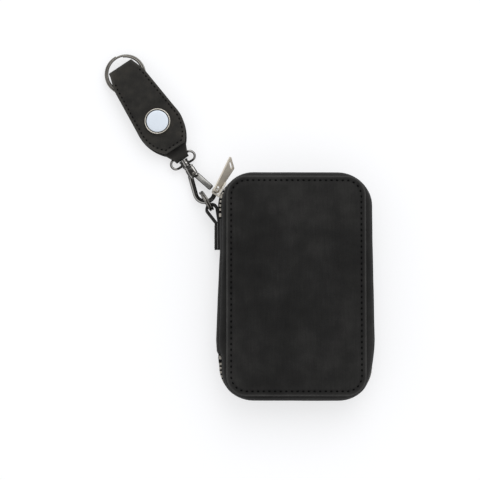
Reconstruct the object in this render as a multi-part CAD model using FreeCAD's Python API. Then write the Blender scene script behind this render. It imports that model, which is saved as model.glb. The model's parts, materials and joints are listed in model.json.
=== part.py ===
import FreeCAD, Part
import math
import os

# Zip-round key case lying on its back cover, with a leather fob on a swivel snap hook.
# Millimetres and degrees. Origin at the middle of the back cover's outer face, +Z up through the case.

overrun = 1.0

# Case body
case_height = 22.0
cover_width = 69.5
cover_length = 109.5
cover_radius = 10.0
cover_thickness = 2.0
cover_edge_round = 0.8
side_bulge = 3.75
end_bulge = 2.5
belly_radius = 17.5
wall_thickness = 1.1
wall_seam_inset = 1.2
# From the cover's seam to the middle of the case: height above the middle, and how far the wall has bulged
wall_height_shares = (1.0, 0.78, 0.4, 0.08)
wall_reach_shares = (0.0, 0.62, 0.94, 1.0)
board_margin = 2.8
board_thickness = 0.9
lining_margin = 2.5
lining_thickness = 0.5
# Short flats that make up each rounded corner of the leather, board and fabric sheets
corner_steps = 7

# Spine strip, a soft hinge that folds along its outer ridge
spine_length = 68.0
spine_ridge = 0.6
spine_end_clearance = 0.15
spine_edge_clearance = 0.05

# Zip
tape_thickness = 0.8
tape_clearance = 0.05
tooth_pitch = 2.0
tooth_depth = 2.4
tooth_head = 0.8
tooth_base = 1.1
tooth_grip = 1.2
tooth_interlock = 0.6
tooth_free_gap = 0.9
tooth_end_margin = 3.4
stop_length = 1.8
stop_depth = 2.6
stop_offset = 1.6

# Zip slider and pull tag
slider_angle = 29.0
slider_length = 8.4
slider_front_width = 4.4
slider_back_width = 3.6
slider_corner = 0.7
slider_plate = 0.8
slider_inner_gap = 2.0
slider_outer_gap = 1.8
slider_post_width = 0.5
slider_post_length = 1.7
slider_post_setback = 0.4
bridge_width = 1.1
bridge_leg = 0.9
bridge_top = 0.8
bridge_window = 2.0
bridge_setback = 0.2
pull_axis_height = 1.8
pull_axis_headroom = 1.0
pull_turn = 0.0
pull_tilt = 35.0
pull_length = 18.8
pull_thickness = 0.8
pull_root_width = 4.0
pull_tip_width = 7.6
pull_slant = 4.0
pull_bar = 0.45
pull_corner = 0.5
pull_window_width = 2.6
pull_window_length = 2.3
pull_slot_width = 1.3
pull_slot_length = 4.6
pull_slot_margin = 1.7

# Inside of the back half: rail with key hooks
rail_margin = 5.75
rail_width = 8.0
rail_thickness = 1.2
rail_end_gap = 17.75
rail_lug = 2.0
rod_radius = 0.8
rod_clearance = 0.05
rail_rivet_radius = 1.5
rail_rivet_height = 0.7
rail_rivet_inset = 2.6
key_hook_count = 6
key_hook_end_gap = 1.6
barrel_radius = 1.6
barrel_length = 4.0
barrel_corner = 0.9
barrel_lift = 0.3
key_hook_thickness = 1.2
key_hook_shank_width = 2.8
key_hook_shank = 5.0
key_hook_length = 17.0
key_hook_width = 6.8
key_hook_wire = 1.3
key_hook_corner = 2.0
key_hook_inner_corner = 1.2
key_hook_mouth = 3.4
key_hook_leaf = 0.4
key_hook_leaf_gap = 0.2

# Inside of the front half: stepped card pockets
pocket_count = 3
pocket_margin = 4.75
pocket_height = 64.0
pocket_radius = 6.0
pocket_thickness = 0.7
pocket_step = 14.0

# Loop tab on the spine side and the split ring in it
tab_thickness = 1.3
tab_width = 5.0
tab_length = 13.5
tab_drop = 1.8
tab_wall_clearance = 0.1
loop_rise = 6.7
loop_inner_radius = 1.95
ring_heading = -58.0
loop_ring_radius = 5.8
loop_ring_wire = 1.3
loop_ring_axial = 1.05
loop_ring_lift = 0.05
ring_coil_gap = 0.1
ring_joggle = 36.0
joggle_steps = 4

# Fob strap and flap
fob_heading = -56.0
strap_thickness = 2.2
strap_lift = 0.6
layer_gap = 2.4
fob_fold_width = 15.4
fob_full_width = 21.6
fob_full_at = 34.0
fob_shoulder_width = 20.4
fob_shoulder_at = 43.6
fob_end_width = 11.0
fob_end_at = 49.6
neck_root_width = 10.8
neck_width = 7.4
neck_at = 54.0
neck_leather = 1.1
neck_clearance = 0.5

# Snap fastener
snap_at = 33.4
snap_cap_radius = 6.6
snap_disc_radius = 5.25
snap_groove_radius = 5.6
snap_cap_height = 1.4
snap_groove_depth = 0.4
snap_rivet_radius = 1.4
snap_rivet_clearance = 0.1
socket_radius = 4.8
socket_height = 1.8
socket_roof = 0.4
socket_bore = 2.15
stud_base_radius = 4.3
stud_base_height = 0.4
stud_radius = 2.0
stud_top_clearance = 0.15
snap_back_radius = 5.0

# Large split ring in the fold
key_ring_radius = 10.5
key_ring_wire = 1.5
key_ring_axial = 1.05
key_ring_at = 4.0

# Swivel snap hook, lying along its own heading from the bar in the strap's loop
hook_heading = -58.0
hook_seat_clearance = 0.3
# The split ring's middle, inside the bow's bar and beside the bow's middle
ring_in_bow = 0.43
ring_beside_bow = 1.92
bar_sides = 8
eye_wire_radius = 0.75
eye_bar_pitch = 5.0
eye_half_straight = 4.1
collar_radius = 2.1
collar_gap = 0.25
collar_end = 6.4
post_radius = 1.0
post_clearance = 0.06
post_head_radius = 1.6
post_head_start = 8.1
post_head_length = 0.9
pocket_clearance = 0.1
base_start = 6.6
base_length = 6.2
base_width = 4.7
base_height = 4.6
base_chamfer = 0.5
hook_bar_radius = 1.15
bow_radius = 4.9
bow_centre = 22.2
bow_side = 0.9
bow_sweep = 82.0
arm_start_side = -1.1
gate_pin_radius = 0.55
gate_pin_at = 11.2
gate_pin_side = 0.9
gate_pin_clearance = 0.05
gate_root_radius = 1.35
gate_root_thickness = 1.5
gate_slot = 1.7
gate_slot_start = 9.5
gate_width = 1.7
gate_thickness = 2.0
gate_corner = 0.5
gate_neck_clearance = 0.5
gate_tip_at = 22.9
gate_tip_clearance = 0.12


def point(x, y, z=0):
    return FreeCAD.Vector(x, y, z)


def polar(centre, radius, degrees):
    angle = math.radians(degrees)
    return centre + point(radius * math.cos(angle), radius * math.sin(angle))


# Worked out from the sizes above
mid_height = case_height / 2
belly_width = cover_width + 2 * side_bulge
belly_length = cover_length + 2 * end_bulge
half_wall = mid_height - cover_thickness
seam_width = cover_width - 2 * wall_seam_inset
seam_length = cover_length - 2 * wall_seam_inset
seam_radius = cover_radius - wall_seam_inset
corner_x = belly_width / 2 - belly_radius
corner_y = belly_length / 2 - belly_radius
tape_inset = wall_thickness + tape_clearance
chain_inset = tape_inset + tape_thickness / 2
chain_radius = belly_radius - chain_inset
chain_corner = chain_radius * math.pi / 2
chain_lead = corner_y - spine_length / 2
chain_straights = (chain_lead, 2 * corner_x, 2 * corner_y, 2 * corner_x, chain_lead)
chain_length = 4 * chain_corner + sum(chain_straights)
tooth_root = wall_height_shares[3] * half_wall + tooth_grip
lining_top = cover_thickness + board_thickness + lining_thickness
pocket_width = cover_width - 2 * pocket_margin
pocket_bottom = pocket_margin - cover_length / 2
loop_ring_middle = loop_ring_radius - loop_ring_wire / 2
loop_ring_height = loop_ring_radius + loop_ring_lift
tab_inner = belly_width / 2 + tab_wall_clearance
loop_x = -(tab_inner + tab_thickness + loop_inner_radius)
tab_high = spine_length / 2 - tab_drop
tab_low = tab_high - tab_length
loop_y = tab_high + loop_rise
ring_place = polar(point(loop_x, loop_y, loop_ring_height), -loop_ring_middle, ring_heading)
ring_along = bow_centre + bow_radius - ring_in_bow
ring_across = bow_side - ring_beside_bow
hook_start = polar(polar(ring_place, -ring_along, hook_heading), -ring_across, hook_heading + 90)
fob_start = polar(hook_start, -neck_at, fob_heading)
rail_length = cover_width - 2 * rail_margin
rail_y = cover_length / 2 - rail_end_gap
key_hook_room = rail_length - 2 * rail_lug - 2 * key_hook_end_gap - key_hook_width
key_hook_pitch = key_hook_room / (key_hook_count - 1)
hook_height = loop_ring_lift + loop_ring_wire + hook_bar_radius + hook_seat_clearance
neck_radius = eye_wire_radius + neck_clearance + neck_leather
collar_start = neck_radius + collar_gap
fold_outer = strap_thickness + layer_gap / 2
fold_height = strap_lift + fold_outer
strap_top = strap_lift + strap_thickness
flap_low = strap_top + layer_gap
flap_top = flap_low + strap_thickness


def line(start, end):
    return Part.LineSegment(start, end).toShape()


def arc(start, middle, end):
    return Part.Arc(start, middle, end).toShape()


def arc_about(centre, radius, first, last):
    start, middle, end = (polar(centre, radius, angle) for angle in (first, (first + last) / 2, last))
    return arc(start, middle, end)


def prism(edges, low, high):
    face = Part.Face(Part.Wire(edges))
    face.translate(point(0, 0, low))
    return face.extrude(point(0, 0, high - low))


def polygon_prism(corners, low, high):
    return prism([line(a, b) for a, b in zip(corners, corners[1:] + corners[:1])], low, high)


def block(x0, x1, y0, y1, z0, z1):
    return Part.makeBox(x1 - x0, y1 - y0, z1 - z0, point(x0, y0, z0))


def disc(radius, x, y, low, high):
    return Part.makeCylinder(radius, high - low, point(x, y, low))


def rounded_rectangle(width, length, radius, height):
    x, y = width / 2 - radius, length / 2 - radius
    corners = []
    for quarter, (side_x, side_y) in enumerate(((x, y), (-x, y), (-x, -y), (x, -y))):
        centre = point(side_x, side_y, height)
        turns = (quarter + step / corner_steps for step in range(corner_steps + 1))
        corners += [polar(centre, radius, 90 * turn) for turn in turns]
    return corners


def rounded_plate(width, length, radius, low, high):
    return polygon_prism(rounded_rectangle(width, length, radius, 0), low, high)


def flat_face(corners):
    return Part.Face(Part.makePolygon(corners + corners[:1]))


def flat_loft(outlines):
    # Solid through outlines at different heights, with flat faces between matching sides
    outlines = sorted(outlines, key=lambda outline: outline[0].z)
    faces = [flat_face(outlines[0][::-1]), flat_face(outlines[-1])]
    for near, far in zip(outlines, outlines[1:]):
        for i in range(len(near)):
            faces.append(flat_face([near[i - 1], near[i], far[i], far[i - 1]]))
    shell = Part.Shell(faces)
    shell.sewShape()
    return Part.Solid(shell)


def cut_corners(width, low, high, corner):
    # Points of an upright rectangle with its corners cut off
    half = width / 2
    right = [point(half - corner, low), point(half, low + corner),
             point(half, high - corner), point(half - corner, high)]
    return right + [point(-p.x, p.y) for p in reversed(right)]


def capsule(width, low, high):
    # Upright outline with round ends, from y = low to y = high
    radius = width / 2
    top, bottom = point(0, high - radius), point(0, low + radius)
    ends = [arc_about(top, radius, 0, 180), arc_about(bottom, radius, 180, 360)]
    sides = [line(polar(top, radius, 180), polar(bottom, radius, 180)),
             line(polar(bottom, radius, 0), polar(top, radius, 0))]
    return [ends[0], sides[0], ends[1], sides[1]]


# Case covers, boards and linings. side is 1 for the front half and -1 for the back half.
def level(side, depth):
    return mid_height + side * (mid_height - depth)


def layer(margin, top, bottom, side):
    low, high = sorted((level(side, top), level(side, bottom)))
    width, length = cover_width - 2 * margin, cover_length - 2 * margin
    return rounded_plate(width, length, cover_radius - margin, low, high)


def cover(side):
    # Turned edge: the sheet narrows toward its outer face
    sections = []
    for inset, depth in ((0, cover_thickness), (0, cover_edge_round), (cover_edge_round, 0)):
        width, length = cover_width - 2 * inset, cover_length - 2 * inset
        sections.append(rounded_rectangle(width, length, cover_radius - inset, level(side, depth)))
    return flat_loft(sections)


def board(side):
    return layer(board_margin, cover_thickness, cover_thickness + board_thickness, side)


def lining(side):
    return layer(lining_margin, cover_thickness + board_thickness, lining_top, side)


# Bulged walls and zip tapes, lofted through rounded rectangles
def wall_section(index, inset, side):
    reach = wall_reach_shares[index]
    width = seam_width + reach * (belly_width - seam_width)
    length = seam_length + reach * (belly_length - seam_length)
    radius = seam_radius + reach * (belly_radius - seam_radius)
    height = mid_height + side * wall_height_shares[index] * half_wall
    return rounded_rectangle(width - 2 * inset, length - 2 * inset, radius - inset, height)


def wall_band(first, last, outer_inset, thickness, side):
    indices = range(first, last + 1)
    outer = flat_loft([wall_section(i, outer_inset, side) for i in indices])
    inner = flat_loft([wall_section(i, outer_inset + thickness, side) for i in indices])
    return outer.cut(inner)


def gusset(side):
    return wall_band(0, 2, 0, wall_thickness, side)


def zip_tape(side):
    band = wall_band(1, 3, tape_inset, tape_thickness, side)
    half = spine_length / 2
    spine_gap = block(-belly_width, -corner_x, -half, half, -overrun, case_height + overrun)
    return band.cut(spine_gap)


def spine_strip():
    reach = wall_reach_shares[2]
    edge_x = -(seam_width + reach * (belly_width - seam_width)) / 2
    edge_z = wall_height_shares[2] * half_wall - spine_edge_clearance
    ridge_x = -belly_width / 2 - spine_ridge
    half_length = spine_length / 2 - spine_end_clearance
    outer = [point(edge_x, -half_length, mid_height - edge_z),
             point(ridge_x, -half_length, mid_height),
             point(edge_x, -half_length, mid_height + edge_z)]
    inner = [corner + point(wall_thickness, 0, 0) for corner in reversed(outer)]
    return Part.Face(Part.makePolygon(outer + inner + outer[:1])).extrude(point(0, 2 * half_length, 0))


# Zip chain: place and heading at a distance along the tapes, clockwise from the spine's top end
def chain_frame(distance):
    place = point(-(corner_x + chain_radius), spine_length / 2, mid_height)
    heading = 90.0
    for straight in chain_straights:
        if distance <= straight:
            return polar(place, distance, heading), heading
        place = polar(place, straight, heading)
        distance -= straight
        centre = polar(place, chain_radius, heading - 90)
        turn = min(distance / chain_radius, math.pi / 2)
        if distance <= chain_corner:
            turned = heading - math.degrees(turn)
            return polar(centre, chain_radius, turned + 90), turned
        heading -= 90
        place = polar(centre, chain_radius, heading + 90)
        distance -= chain_corner
    return place, heading


def chain_block(distance, side, head, base, depth, tip, root):
    # Tapered block across the chain, from its tip near the middle to its root on the tape
    sections = []
    for length, height in ((head, side * tip), (base, side * root)):
        half, reach = length / 2, depth / 2
        sections.append([point(-half, -reach, height), point(half, -reach, height),
                         point(half, reach, height), point(-half, reach, height)])
    solid = flat_loft(sections)
    place, heading = chain_frame(distance)
    solid.Placement = FreeCAD.Placement(place, FreeCAD.Rotation(point(0, 0, 1), heading))
    return solid


def zip_teeth(side):
    teeth = []
    start = tooth_end_margin + (tooth_pitch / 2 if side > 0 else 0)
    count = int((chain_length - tooth_end_margin - start) / tooth_pitch) + 1
    for index in range(count):
        distance = start + index * tooth_pitch
        meshed = chain_lead + chain_corner < distance < chain_length - chain_lead - chain_corner
        tip = -tooth_interlock if meshed else tooth_free_gap / 2
        teeth.append(chain_block(distance, side, tooth_head, tooth_base, tooth_depth, tip, tooth_root))
    return Part.makeCompound(teeth)


def zip_stops(side):
    ends = (stop_offset, chain_length - stop_offset)
    return Part.makeCompound([
        chain_block(d, side, stop_length, stop_length, stop_depth, tooth_free_gap / 2, tooth_root)
        for d in ends])


# Slider, in its own frame: x along the chain toward the open end, y outward, z up
def on_slider(shape):
    place, heading = chain_frame(chain_lead + math.radians(slider_angle) * chain_radius)
    frame = FreeCAD.Placement(place, FreeCAD.Rotation(point(0, 0, 1), heading))
    shape.Placement = frame.multiply(shape.Placement)
    return shape


def slider_plate_solid(inner, outer):
    half, front, back = slider_length / 2, slider_front_width / 2, slider_back_width / 2
    lower = [point(slider_corner - half, inner, -front), point(half - slider_corner, inner, -back),
             point(half, inner, slider_corner - back)]
    upper = [point(p.x, p.y, -p.z) for p in reversed(lower)]
    end = point(-half, inner, front - slider_corner)
    corners = lower + upper + [end, point(end.x, end.y, -end.z)]
    return flat_face(corners).extrude(point(0, outer - inner, 0))


def slider_body():
    outer = slider_plate_solid(slider_outer_gap, slider_outer_gap + slider_plate)
    inner = slider_plate_solid(-slider_inner_gap - slider_plate, -slider_inner_gap)
    start = -slider_length / 2 + slider_post_setback
    post = block(start, start + slider_post_length, -slider_inner_gap, slider_outer_gap,
                 -slider_post_width / 2, slider_post_width / 2)
    return on_slider(outer.fuse([inner, post]).removeSplitter())


def bridge_middle():
    return -slider_length / 2 + bridge_setback + bridge_leg + bridge_window / 2


def slider_bridge():
    seat = slider_outer_gap + slider_plate
    roof = seat + pull_axis_height + pull_axis_headroom
    reach = bridge_window / 2 + bridge_leg
    middle = bridge_middle()
    half = bridge_width / 2
    arch = block(middle - reach, middle + reach, seat, roof + bridge_top, -half, half)
    corners = [e for e in arch.Edges
               if all(v.Y > roof for v in e.Vertexes) and abs(e.Vertexes[0].Z - e.Vertexes[1].Z) > half]
    arch = arch.makeFillet(bridge_leg, corners)
    window = block(middle - bridge_window / 2, middle + bridge_window / 2, seat - overrun, roof,
                   -half - overrun, half + overrun)
    return on_slider(arch.cut(window))


def pull_tag():
    root, tip = pull_root_width / 2, pull_tip_width / 2
    corners = [point(-pull_bar, -root), point(pull_length - pull_slant, -tip), point(pull_length, tip),
               point(-pull_bar, root)]
    tag = polygon_prism(corners, -pull_thickness / 2, pull_thickness / 2)
    upright = [e for e in tag.Edges if abs(e.Vertexes[0].Z - e.Vertexes[1].Z) > pull_thickness / 2]
    tag = tag.makeFillet(pull_corner, upright)
    low, high = -pull_thickness / 2 - overrun, pull_thickness / 2 + overrun
    window = block(pull_bar, pull_bar + pull_window_length,
                   -pull_window_width / 2, pull_window_width / 2, low, high)
    slot = prism(capsule(pull_slot_width, -pull_slot_length / 2, pull_slot_length / 2), low, high)
    lean = math.degrees(math.atan2(pull_slant, pull_tip_width))
    slot.rotate(point(0, 0), point(0, 0, 1), -lean)
    slot.translate(point(pull_length - pull_slant / 2 - pull_slot_margin, 0))
    tag = tag.cut(window.fuse(slot))
    tag.rotate(point(0, 0), point(1, 0, 0), 90 - pull_tilt)
    tag.rotate(point(0, 0), point(0, 0, 1), pull_turn)
    tag.translate(point(bridge_middle(), slider_outer_gap + slider_plate + pull_axis_height))
    return on_slider(tag)


# Key rail and hooks on the back lining, card pockets on the front lining
def rod_height():
    return lining_top + rail_thickness + barrel_radius + barrel_lift


def key_rail():
    half, low, high = rail_length / 2, lining_top, lining_top + rail_thickness
    plate = block(-half, half, rail_y - rail_width / 2, rail_y + rail_width / 2, low, high)
    rod = Part.makeCylinder(rod_radius, rail_length, point(-half, rail_y, rod_height()), point(1, 0, 0))
    front, back, top = rail_y - barrel_radius, rail_y + barrel_radius, rod_height() + barrel_radius
    lugs = [block(x, x + rail_lug, front, back, low, top) for x in (-half, half - rail_lug)]
    return plate.fuse([rod] + lugs).removeSplitter()


def key_rail_rivets():
    reach, y = rail_length / 2 - rail_lug - rail_rivet_inset, rail_y + rail_width / 2 - rail_rivet_radius
    low = lining_top + rail_thickness
    return Part.makeCompound([
        disc(rail_rivet_radius, side * reach, y, low, low + rail_rivet_height) for side in (-1, 1)])


def key_hook(index):
    half = key_hook_thickness / 2
    knuckle = cut_corners(2 * barrel_radius, -barrel_radius, barrel_radius, barrel_corner)
    barrel = polygon_prism(knuckle, -barrel_length / 2, barrel_length / 2)
    barrel.rotate(point(0, 0), point(0, 1, 0), 90)
    shank = block(-key_hook_shank_width / 2, key_hook_shank_width / 2,
                  -key_hook_shank - key_hook_wire, 0, -half, half)
    outline = cut_corners(key_hook_width, -key_hook_length, -key_hook_shank, key_hook_corner)
    outer = polygon_prism(outline, -half, half)
    opening = cut_corners(key_hook_width - 2 * key_hook_wire, -key_hook_length + key_hook_wire,
                          -key_hook_shank - key_hook_wire, key_hook_inner_corner)
    inner = polygon_prism(opening, -half - overrun, half + overrun)
    mouth_middle = -(key_hook_shank + key_hook_length) / 2
    side = key_hook_width / 2
    mouth = block(side - key_hook_wire, side + overrun, mouth_middle - key_hook_mouth / 2,
                  mouth_middle + key_hook_mouth / 2, -half - overrun, half + overrun)
    leaf = block(side - key_hook_wire - key_hook_leaf, side - key_hook_wire,
                 mouth_middle - key_hook_mouth / 2 + key_hook_leaf_gap, mouth_middle + key_hook_mouth,
                 -half, half)
    bore = Part.makeCylinder(rod_radius + rod_clearance, barrel_length + 2 * overrun,
                             point(-barrel_length / 2 - overrun, 0), point(1, 0, 0))
    hook = outer.cut(inner).cut(mouth).fuse([leaf, shank, barrel]).cut(bore)
    hook.translate(point((index - (key_hook_count - 1) / 2) * key_hook_pitch, rail_y, rod_height()))
    return hook


def card_pocket(index):
    top = level(1, lining_top) - index * pocket_thickness
    length = pocket_height - index * pocket_step
    pocket = rounded_plate(pocket_width, length, pocket_radius, top - pocket_thickness, top)
    pocket.translate(point(0, pocket_bottom + length / 2))
    return pocket


# Leather loop on the spine side: a strip doubled on itself, opening into a loop for the ring
def loop_tab():
    inner_x, fold_x, outer_x = -tab_inner, -tab_inner - tab_thickness, -tab_inner - 2 * tab_thickness
    low, high = loop_ring_height - tab_width / 2, loop_ring_height + tab_width / 2
    centre = point(loop_x, loop_y)
    root = point(outer_x, tab_high)
    inner_radius, outer_radius = loop_inner_radius, loop_inner_radius + tab_thickness
    span = (centre - root).Length
    base = math.degrees(math.atan2(root.y - loop_y, root.x - loop_x))
    tangent = base - math.degrees(math.acos(outer_radius / span))
    last = tangent % 360
    outer_start, outer_end = polar(centre, outer_radius, 0), polar(centre, outer_radius, last)
    inner_start, inner_end = polar(centre, inner_radius, 0), polar(centre, inner_radius, last)
    bend = prism([arc_about(centre, outer_radius, 0, last), line(outer_end, inner_end),
                  arc_about(centre, inner_radius, last, 0), line(inner_start, outer_start)], low, high)
    slanted = polygon_prism([outer_end, root, point(fold_x, tab_high), inner_end], low, high)
    upright = block(fold_x, inner_x, tab_high, loop_y, low, high)
    doubled = block(outer_x, inner_x, tab_low, tab_high, low, high)
    return doubled.fuse([upright, bend, slanted]).removeSplitter()


# Split ring of flat wire: two level turns, joined by a short joggle that climbs from one to the other
def split_ring(radius, wire, axial):
    rise = axial + ring_coil_gap
    level_turn = 360 - ring_joggle
    low, high = -(rise + axial) / 2, -(rise - axial) / 2
    corners = [point(radius - wire, 0, low), point(radius, 0, low),
               point(radius, 0, high), point(radius - wire, 0, high)]
    section = Part.makePolygon(corners + corners[:1])
    lower = Part.Face(section).revolve(point(0, 0), point(0, 0, 1), level_turn)
    upper = lower.translated(point(0, 0, rise))
    climb = []
    for step in range(joggle_steps + 1):
        share = step / joggle_steps
        climb.append(section.translated(point(0, 0, share * rise)))
        climb[-1].rotate(point(0, 0), point(0, 0, 1), level_turn + share * ring_joggle)
    return lower.fuse([Part.makeLoft(climb, True, True), upper])


def loop_ring():
    ring = split_ring(loop_ring_radius, loop_ring_wire, loop_ring_axial)
    ring.rotate(point(0, 0), point(1, 0, 0), 90)
    ring.rotate(point(0, 0), point(0, 0, 1), ring_heading)
    ring.translate(ring_place)
    return ring


# Fob, in its own frame: x from the fold's end toward the hook, y across, z up
def on_fob(shape):
    place = point(fob_start.x, fob_start.y)
    frame = FreeCAD.Placement(place, FreeCAD.Rotation(point(0, 0, 1), fob_heading))
    shape.Placement = frame.multiply(shape.Placement)
    return shape


def fob_layer(low, high):
    left = [point(fold_outer, fob_fold_width / 2), point(fob_full_at, fob_full_width / 2),
            point(fob_shoulder_at, fob_shoulder_width / 2), point(fob_end_at, fob_end_width / 2)]
    right = [point(p.x, -p.y) for p in left]
    edges = [line(left[0], left[1]), arc(left[1], left[2], left[3]), line(left[3], right[3]),
             arc(right[3], right[2], right[1]), line(right[1], right[0]), line(right[0], left[0])]
    return prism(edges, low, high)


def snap_hole(low, high):
    return disc(snap_rivet_radius + snap_rivet_clearance, snap_at, 0, low - overrun, high + overrun)


def across_fob(radius, width, x, height):
    return Part.makeCylinder(radius, width, point(x, -width / 2, height), point(0, 1, 0))


def fob_strap():
    body = fob_layer(strap_lift, strap_top)
    root, end = neck_root_width / 2, neck_width / 2
    neck = polygon_prism([point(fob_end_at - neck_leather, -root), point(neck_at, -end), point(neck_at, end),
                          point(fob_end_at - neck_leather, root)], strap_lift, strap_top)
    middle = strap_lift + neck_radius
    loop = across_fob(neck_radius, neck_width, neck_at, middle)
    bore = across_fob(neck_radius - neck_leather, neck_width + 2 * overrun, neck_at, middle)
    holes = bore.fuse(snap_hole(strap_lift, strap_top))
    return on_fob(body.fuse([neck, loop]).cut(holes).removeSplitter())


def fob_fold():
    outer = across_fob(fold_outer, fob_fold_width, fold_outer, fold_height)
    inner = across_fob(layer_gap / 2, fob_fold_width + 2 * overrun, fold_outer, fold_height)
    front = block(-overrun, fold_outer, -fob_fold_width, fob_fold_width, 0, 2 * fold_height)
    return on_fob(outer.cut(inner).common(front))


def fob_flap():
    return on_fob(fob_layer(flap_low, flap_top).cut(snap_hole(flap_low, flap_top)))


# Snap fastener, turned about the axis through both layers
def turned(profile):
    corners = [point(snap_at + r, 0, z) for r, z in profile]
    face = flat_face(corners)
    return face.revolve(point(snap_at, 0, 0), point(0, 0, 1), 360)


def snap_cap():
    rim = flap_top + snap_cap_height
    groove, disc_edge = rim - snap_groove_depth, rim - snap_groove_depth / 2
    rivet = [(0, flap_low), (snap_rivet_radius, flap_low), (snap_rivet_radius, flap_top)]
    bezel = [(snap_cap_radius, flap_top), (snap_cap_radius, groove),
             (snap_cap_radius - snap_groove_depth, rim), (snap_groove_radius, rim)]
    face = [(snap_groove_radius, groove), (snap_disc_radius, groove), (snap_disc_radius, disc_edge),
            (0, disc_edge)]
    return on_fob(turned(rivet + bezel + face))


def snap_socket():
    low, roof = flap_low - socket_height, flap_low - socket_roof
    return on_fob(turned([(0, flap_low), (socket_radius, flap_low), (socket_radius, low),
                          (socket_bore, low), (socket_bore, roof), (0, roof)]))


def snap_stud():
    shelf, top = strap_top + stud_base_height, flap_low - socket_roof - stud_top_clearance
    base = [(0, strap_top), (stud_base_radius, strap_top), (stud_base_radius, shelf)]
    return on_fob(turned(base + [(stud_radius, shelf), (stud_radius, top), (0, top)]))


def snap_back():
    plate = [(0, 0), (snap_back_radius, 0), (snap_back_radius, strap_lift)]
    rivet = [(snap_rivet_radius, strap_lift), (snap_rivet_radius, strap_top), (0, strap_top)]
    return on_fob(turned(plate + rivet))


def key_ring():
    ring = split_ring(key_ring_radius, key_ring_wire, key_ring_axial)
    ring.translate(point(key_ring_at, 0, fold_height))
    return on_fob(ring)


# Snap hook, in its own frame: x from the bar in the strap's loop toward the bow, y across
def on_hook(shape):
    place = point(hook_start.x, hook_start.y, hook_height)
    frame = FreeCAD.Placement(place, FreeCAD.Rotation(point(0, 0, 1), hook_heading))
    shape.Placement = frame.multiply(shape.Placement)
    return shape


def along_hook(radius, start, end):
    return Part.makeCylinder(radius, end - start, point(start, 0), point(1, 0, 0))


def swept_bar(path, radius):
    first = path[0]
    start = first.valueAt(first.FirstParameter)
    across = first.tangentAt(first.FirstParameter).cross(point(0, 0, 1))
    corners = []
    for side in range(bar_sides):
        angle = math.pi * (2 * side + 1) / bar_sides
        corners.append(start + across * radius * math.cos(angle) + point(0, 0, radius * math.sin(angle)))
    return Part.Wire(path).makePipeShell([Part.makePolygon(corners + corners[:1])], True, False)


def swivel_eye():
    half, radius = eye_half_straight, eye_bar_pitch / 2
    left, right = point(radius, half), point(radius, -half)
    near = line(point(0, -half), point(0, half))
    far = line(point(eye_bar_pitch, half), point(eye_bar_pitch, -half))
    path = [near, arc_about(left, radius, 180, 0), far, arc_about(right, radius, 0, -180)]
    collar = along_hook(collar_radius, collar_start, collar_end)
    return on_hook(swept_bar(path, eye_wire_radius).fuse(collar))


def swivel_post():
    shank = along_hook(post_radius, collar_end, post_head_start)
    head = along_hook(post_head_radius, post_head_start, post_head_start + post_head_length)
    return on_hook(shank.fuse(head))


def hook_path():
    # Arm from the base to the bow, which it meets at a tangent
    centre = point(bow_centre, bow_side)
    root = point(base_start + base_length - hook_bar_radius, arm_start_side)
    toward = math.degrees(math.atan2(root.y - bow_side, root.x - bow_centre))
    tangent = toward + math.degrees(math.acos(bow_radius / (root - centre).Length))
    meet = polar(centre, bow_radius, tangent)
    return [line(root, meet), arc_about(centre, bow_radius, tangent, bow_sweep)]


def hook_frame():
    half_w, half_h, end = base_width / 2, base_height / 2, base_start + base_length
    base = block(base_start, end, -half_w, half_w, -half_h, half_h)
    lengthwise = [e for e in base.Edges if abs(e.Vertexes[0].X - e.Vertexes[1].X) > half_w]
    base = base.makeChamfer(base_chamfer, lengthwise)
    bore = along_hook(post_radius + post_clearance, base_start - overrun, post_head_start)
    pocket = along_hook(post_head_radius + pocket_clearance, post_head_start - pocket_clearance,
                        post_head_start + post_head_length + pocket_clearance)
    slot_floor = gate_pin_side - gate_root_radius - gate_neck_clearance
    slot = block(gate_slot_start, end + overrun, slot_floor, half_w + overrun,
                 -gate_slot / 2, gate_slot / 2)
    pin = disc(gate_pin_radius, gate_pin_at, gate_pin_side, -base_height, base_height)
    bar = swept_bar(hook_path(), hook_bar_radius)
    return on_hook(base.fuse(bar).cut(bore.fuse([pocket, slot, pin])).removeSplitter())


def gate_pin():
    return on_hook(disc(gate_pin_radius, gate_pin_at, gate_pin_side, -base_height / 2, base_height / 2))


def hook_gate():
    pivot = point(gate_pin_at, gate_pin_side)
    nose_inside = bow_side + math.sqrt(bow_radius ** 2 - (gate_tip_at - bow_centre) ** 2) - hook_bar_radius
    tip = point(gate_tip_at, nose_inside - gate_tip_clearance - gate_width / 2)
    lean = math.degrees(math.atan2(tip.y - pivot.y, tip.x - pivot.x))
    reach, half = (tip - pivot).Length, gate_width / 2
    neck_end = base_start + base_length + gate_neck_clearance - gate_pin_at
    root = disc(gate_root_radius, 0, 0, -gate_root_thickness / 2, gate_root_thickness / 2)
    tongue = block(0, neck_end + half, -half, half, -gate_root_thickness / 2, gate_root_thickness / 2)
    outline = cut_corners(gate_width, -reach - half, -neck_end, gate_corner)
    arm = polygon_prism(outline, -gate_thickness / 2, gate_thickness / 2)
    arm.rotate(point(0, 0), point(0, 0, 1), 90)
    hole = disc(gate_pin_radius + gate_pin_clearance, 0, 0, -base_height, base_height)
    gate = root.fuse([tongue, arm]).cut(hole).removeSplitter()
    gate.rotate(point(0, 0), point(0, 0, 1), lean)
    gate.translate(pivot)
    return on_hook(gate)


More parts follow.
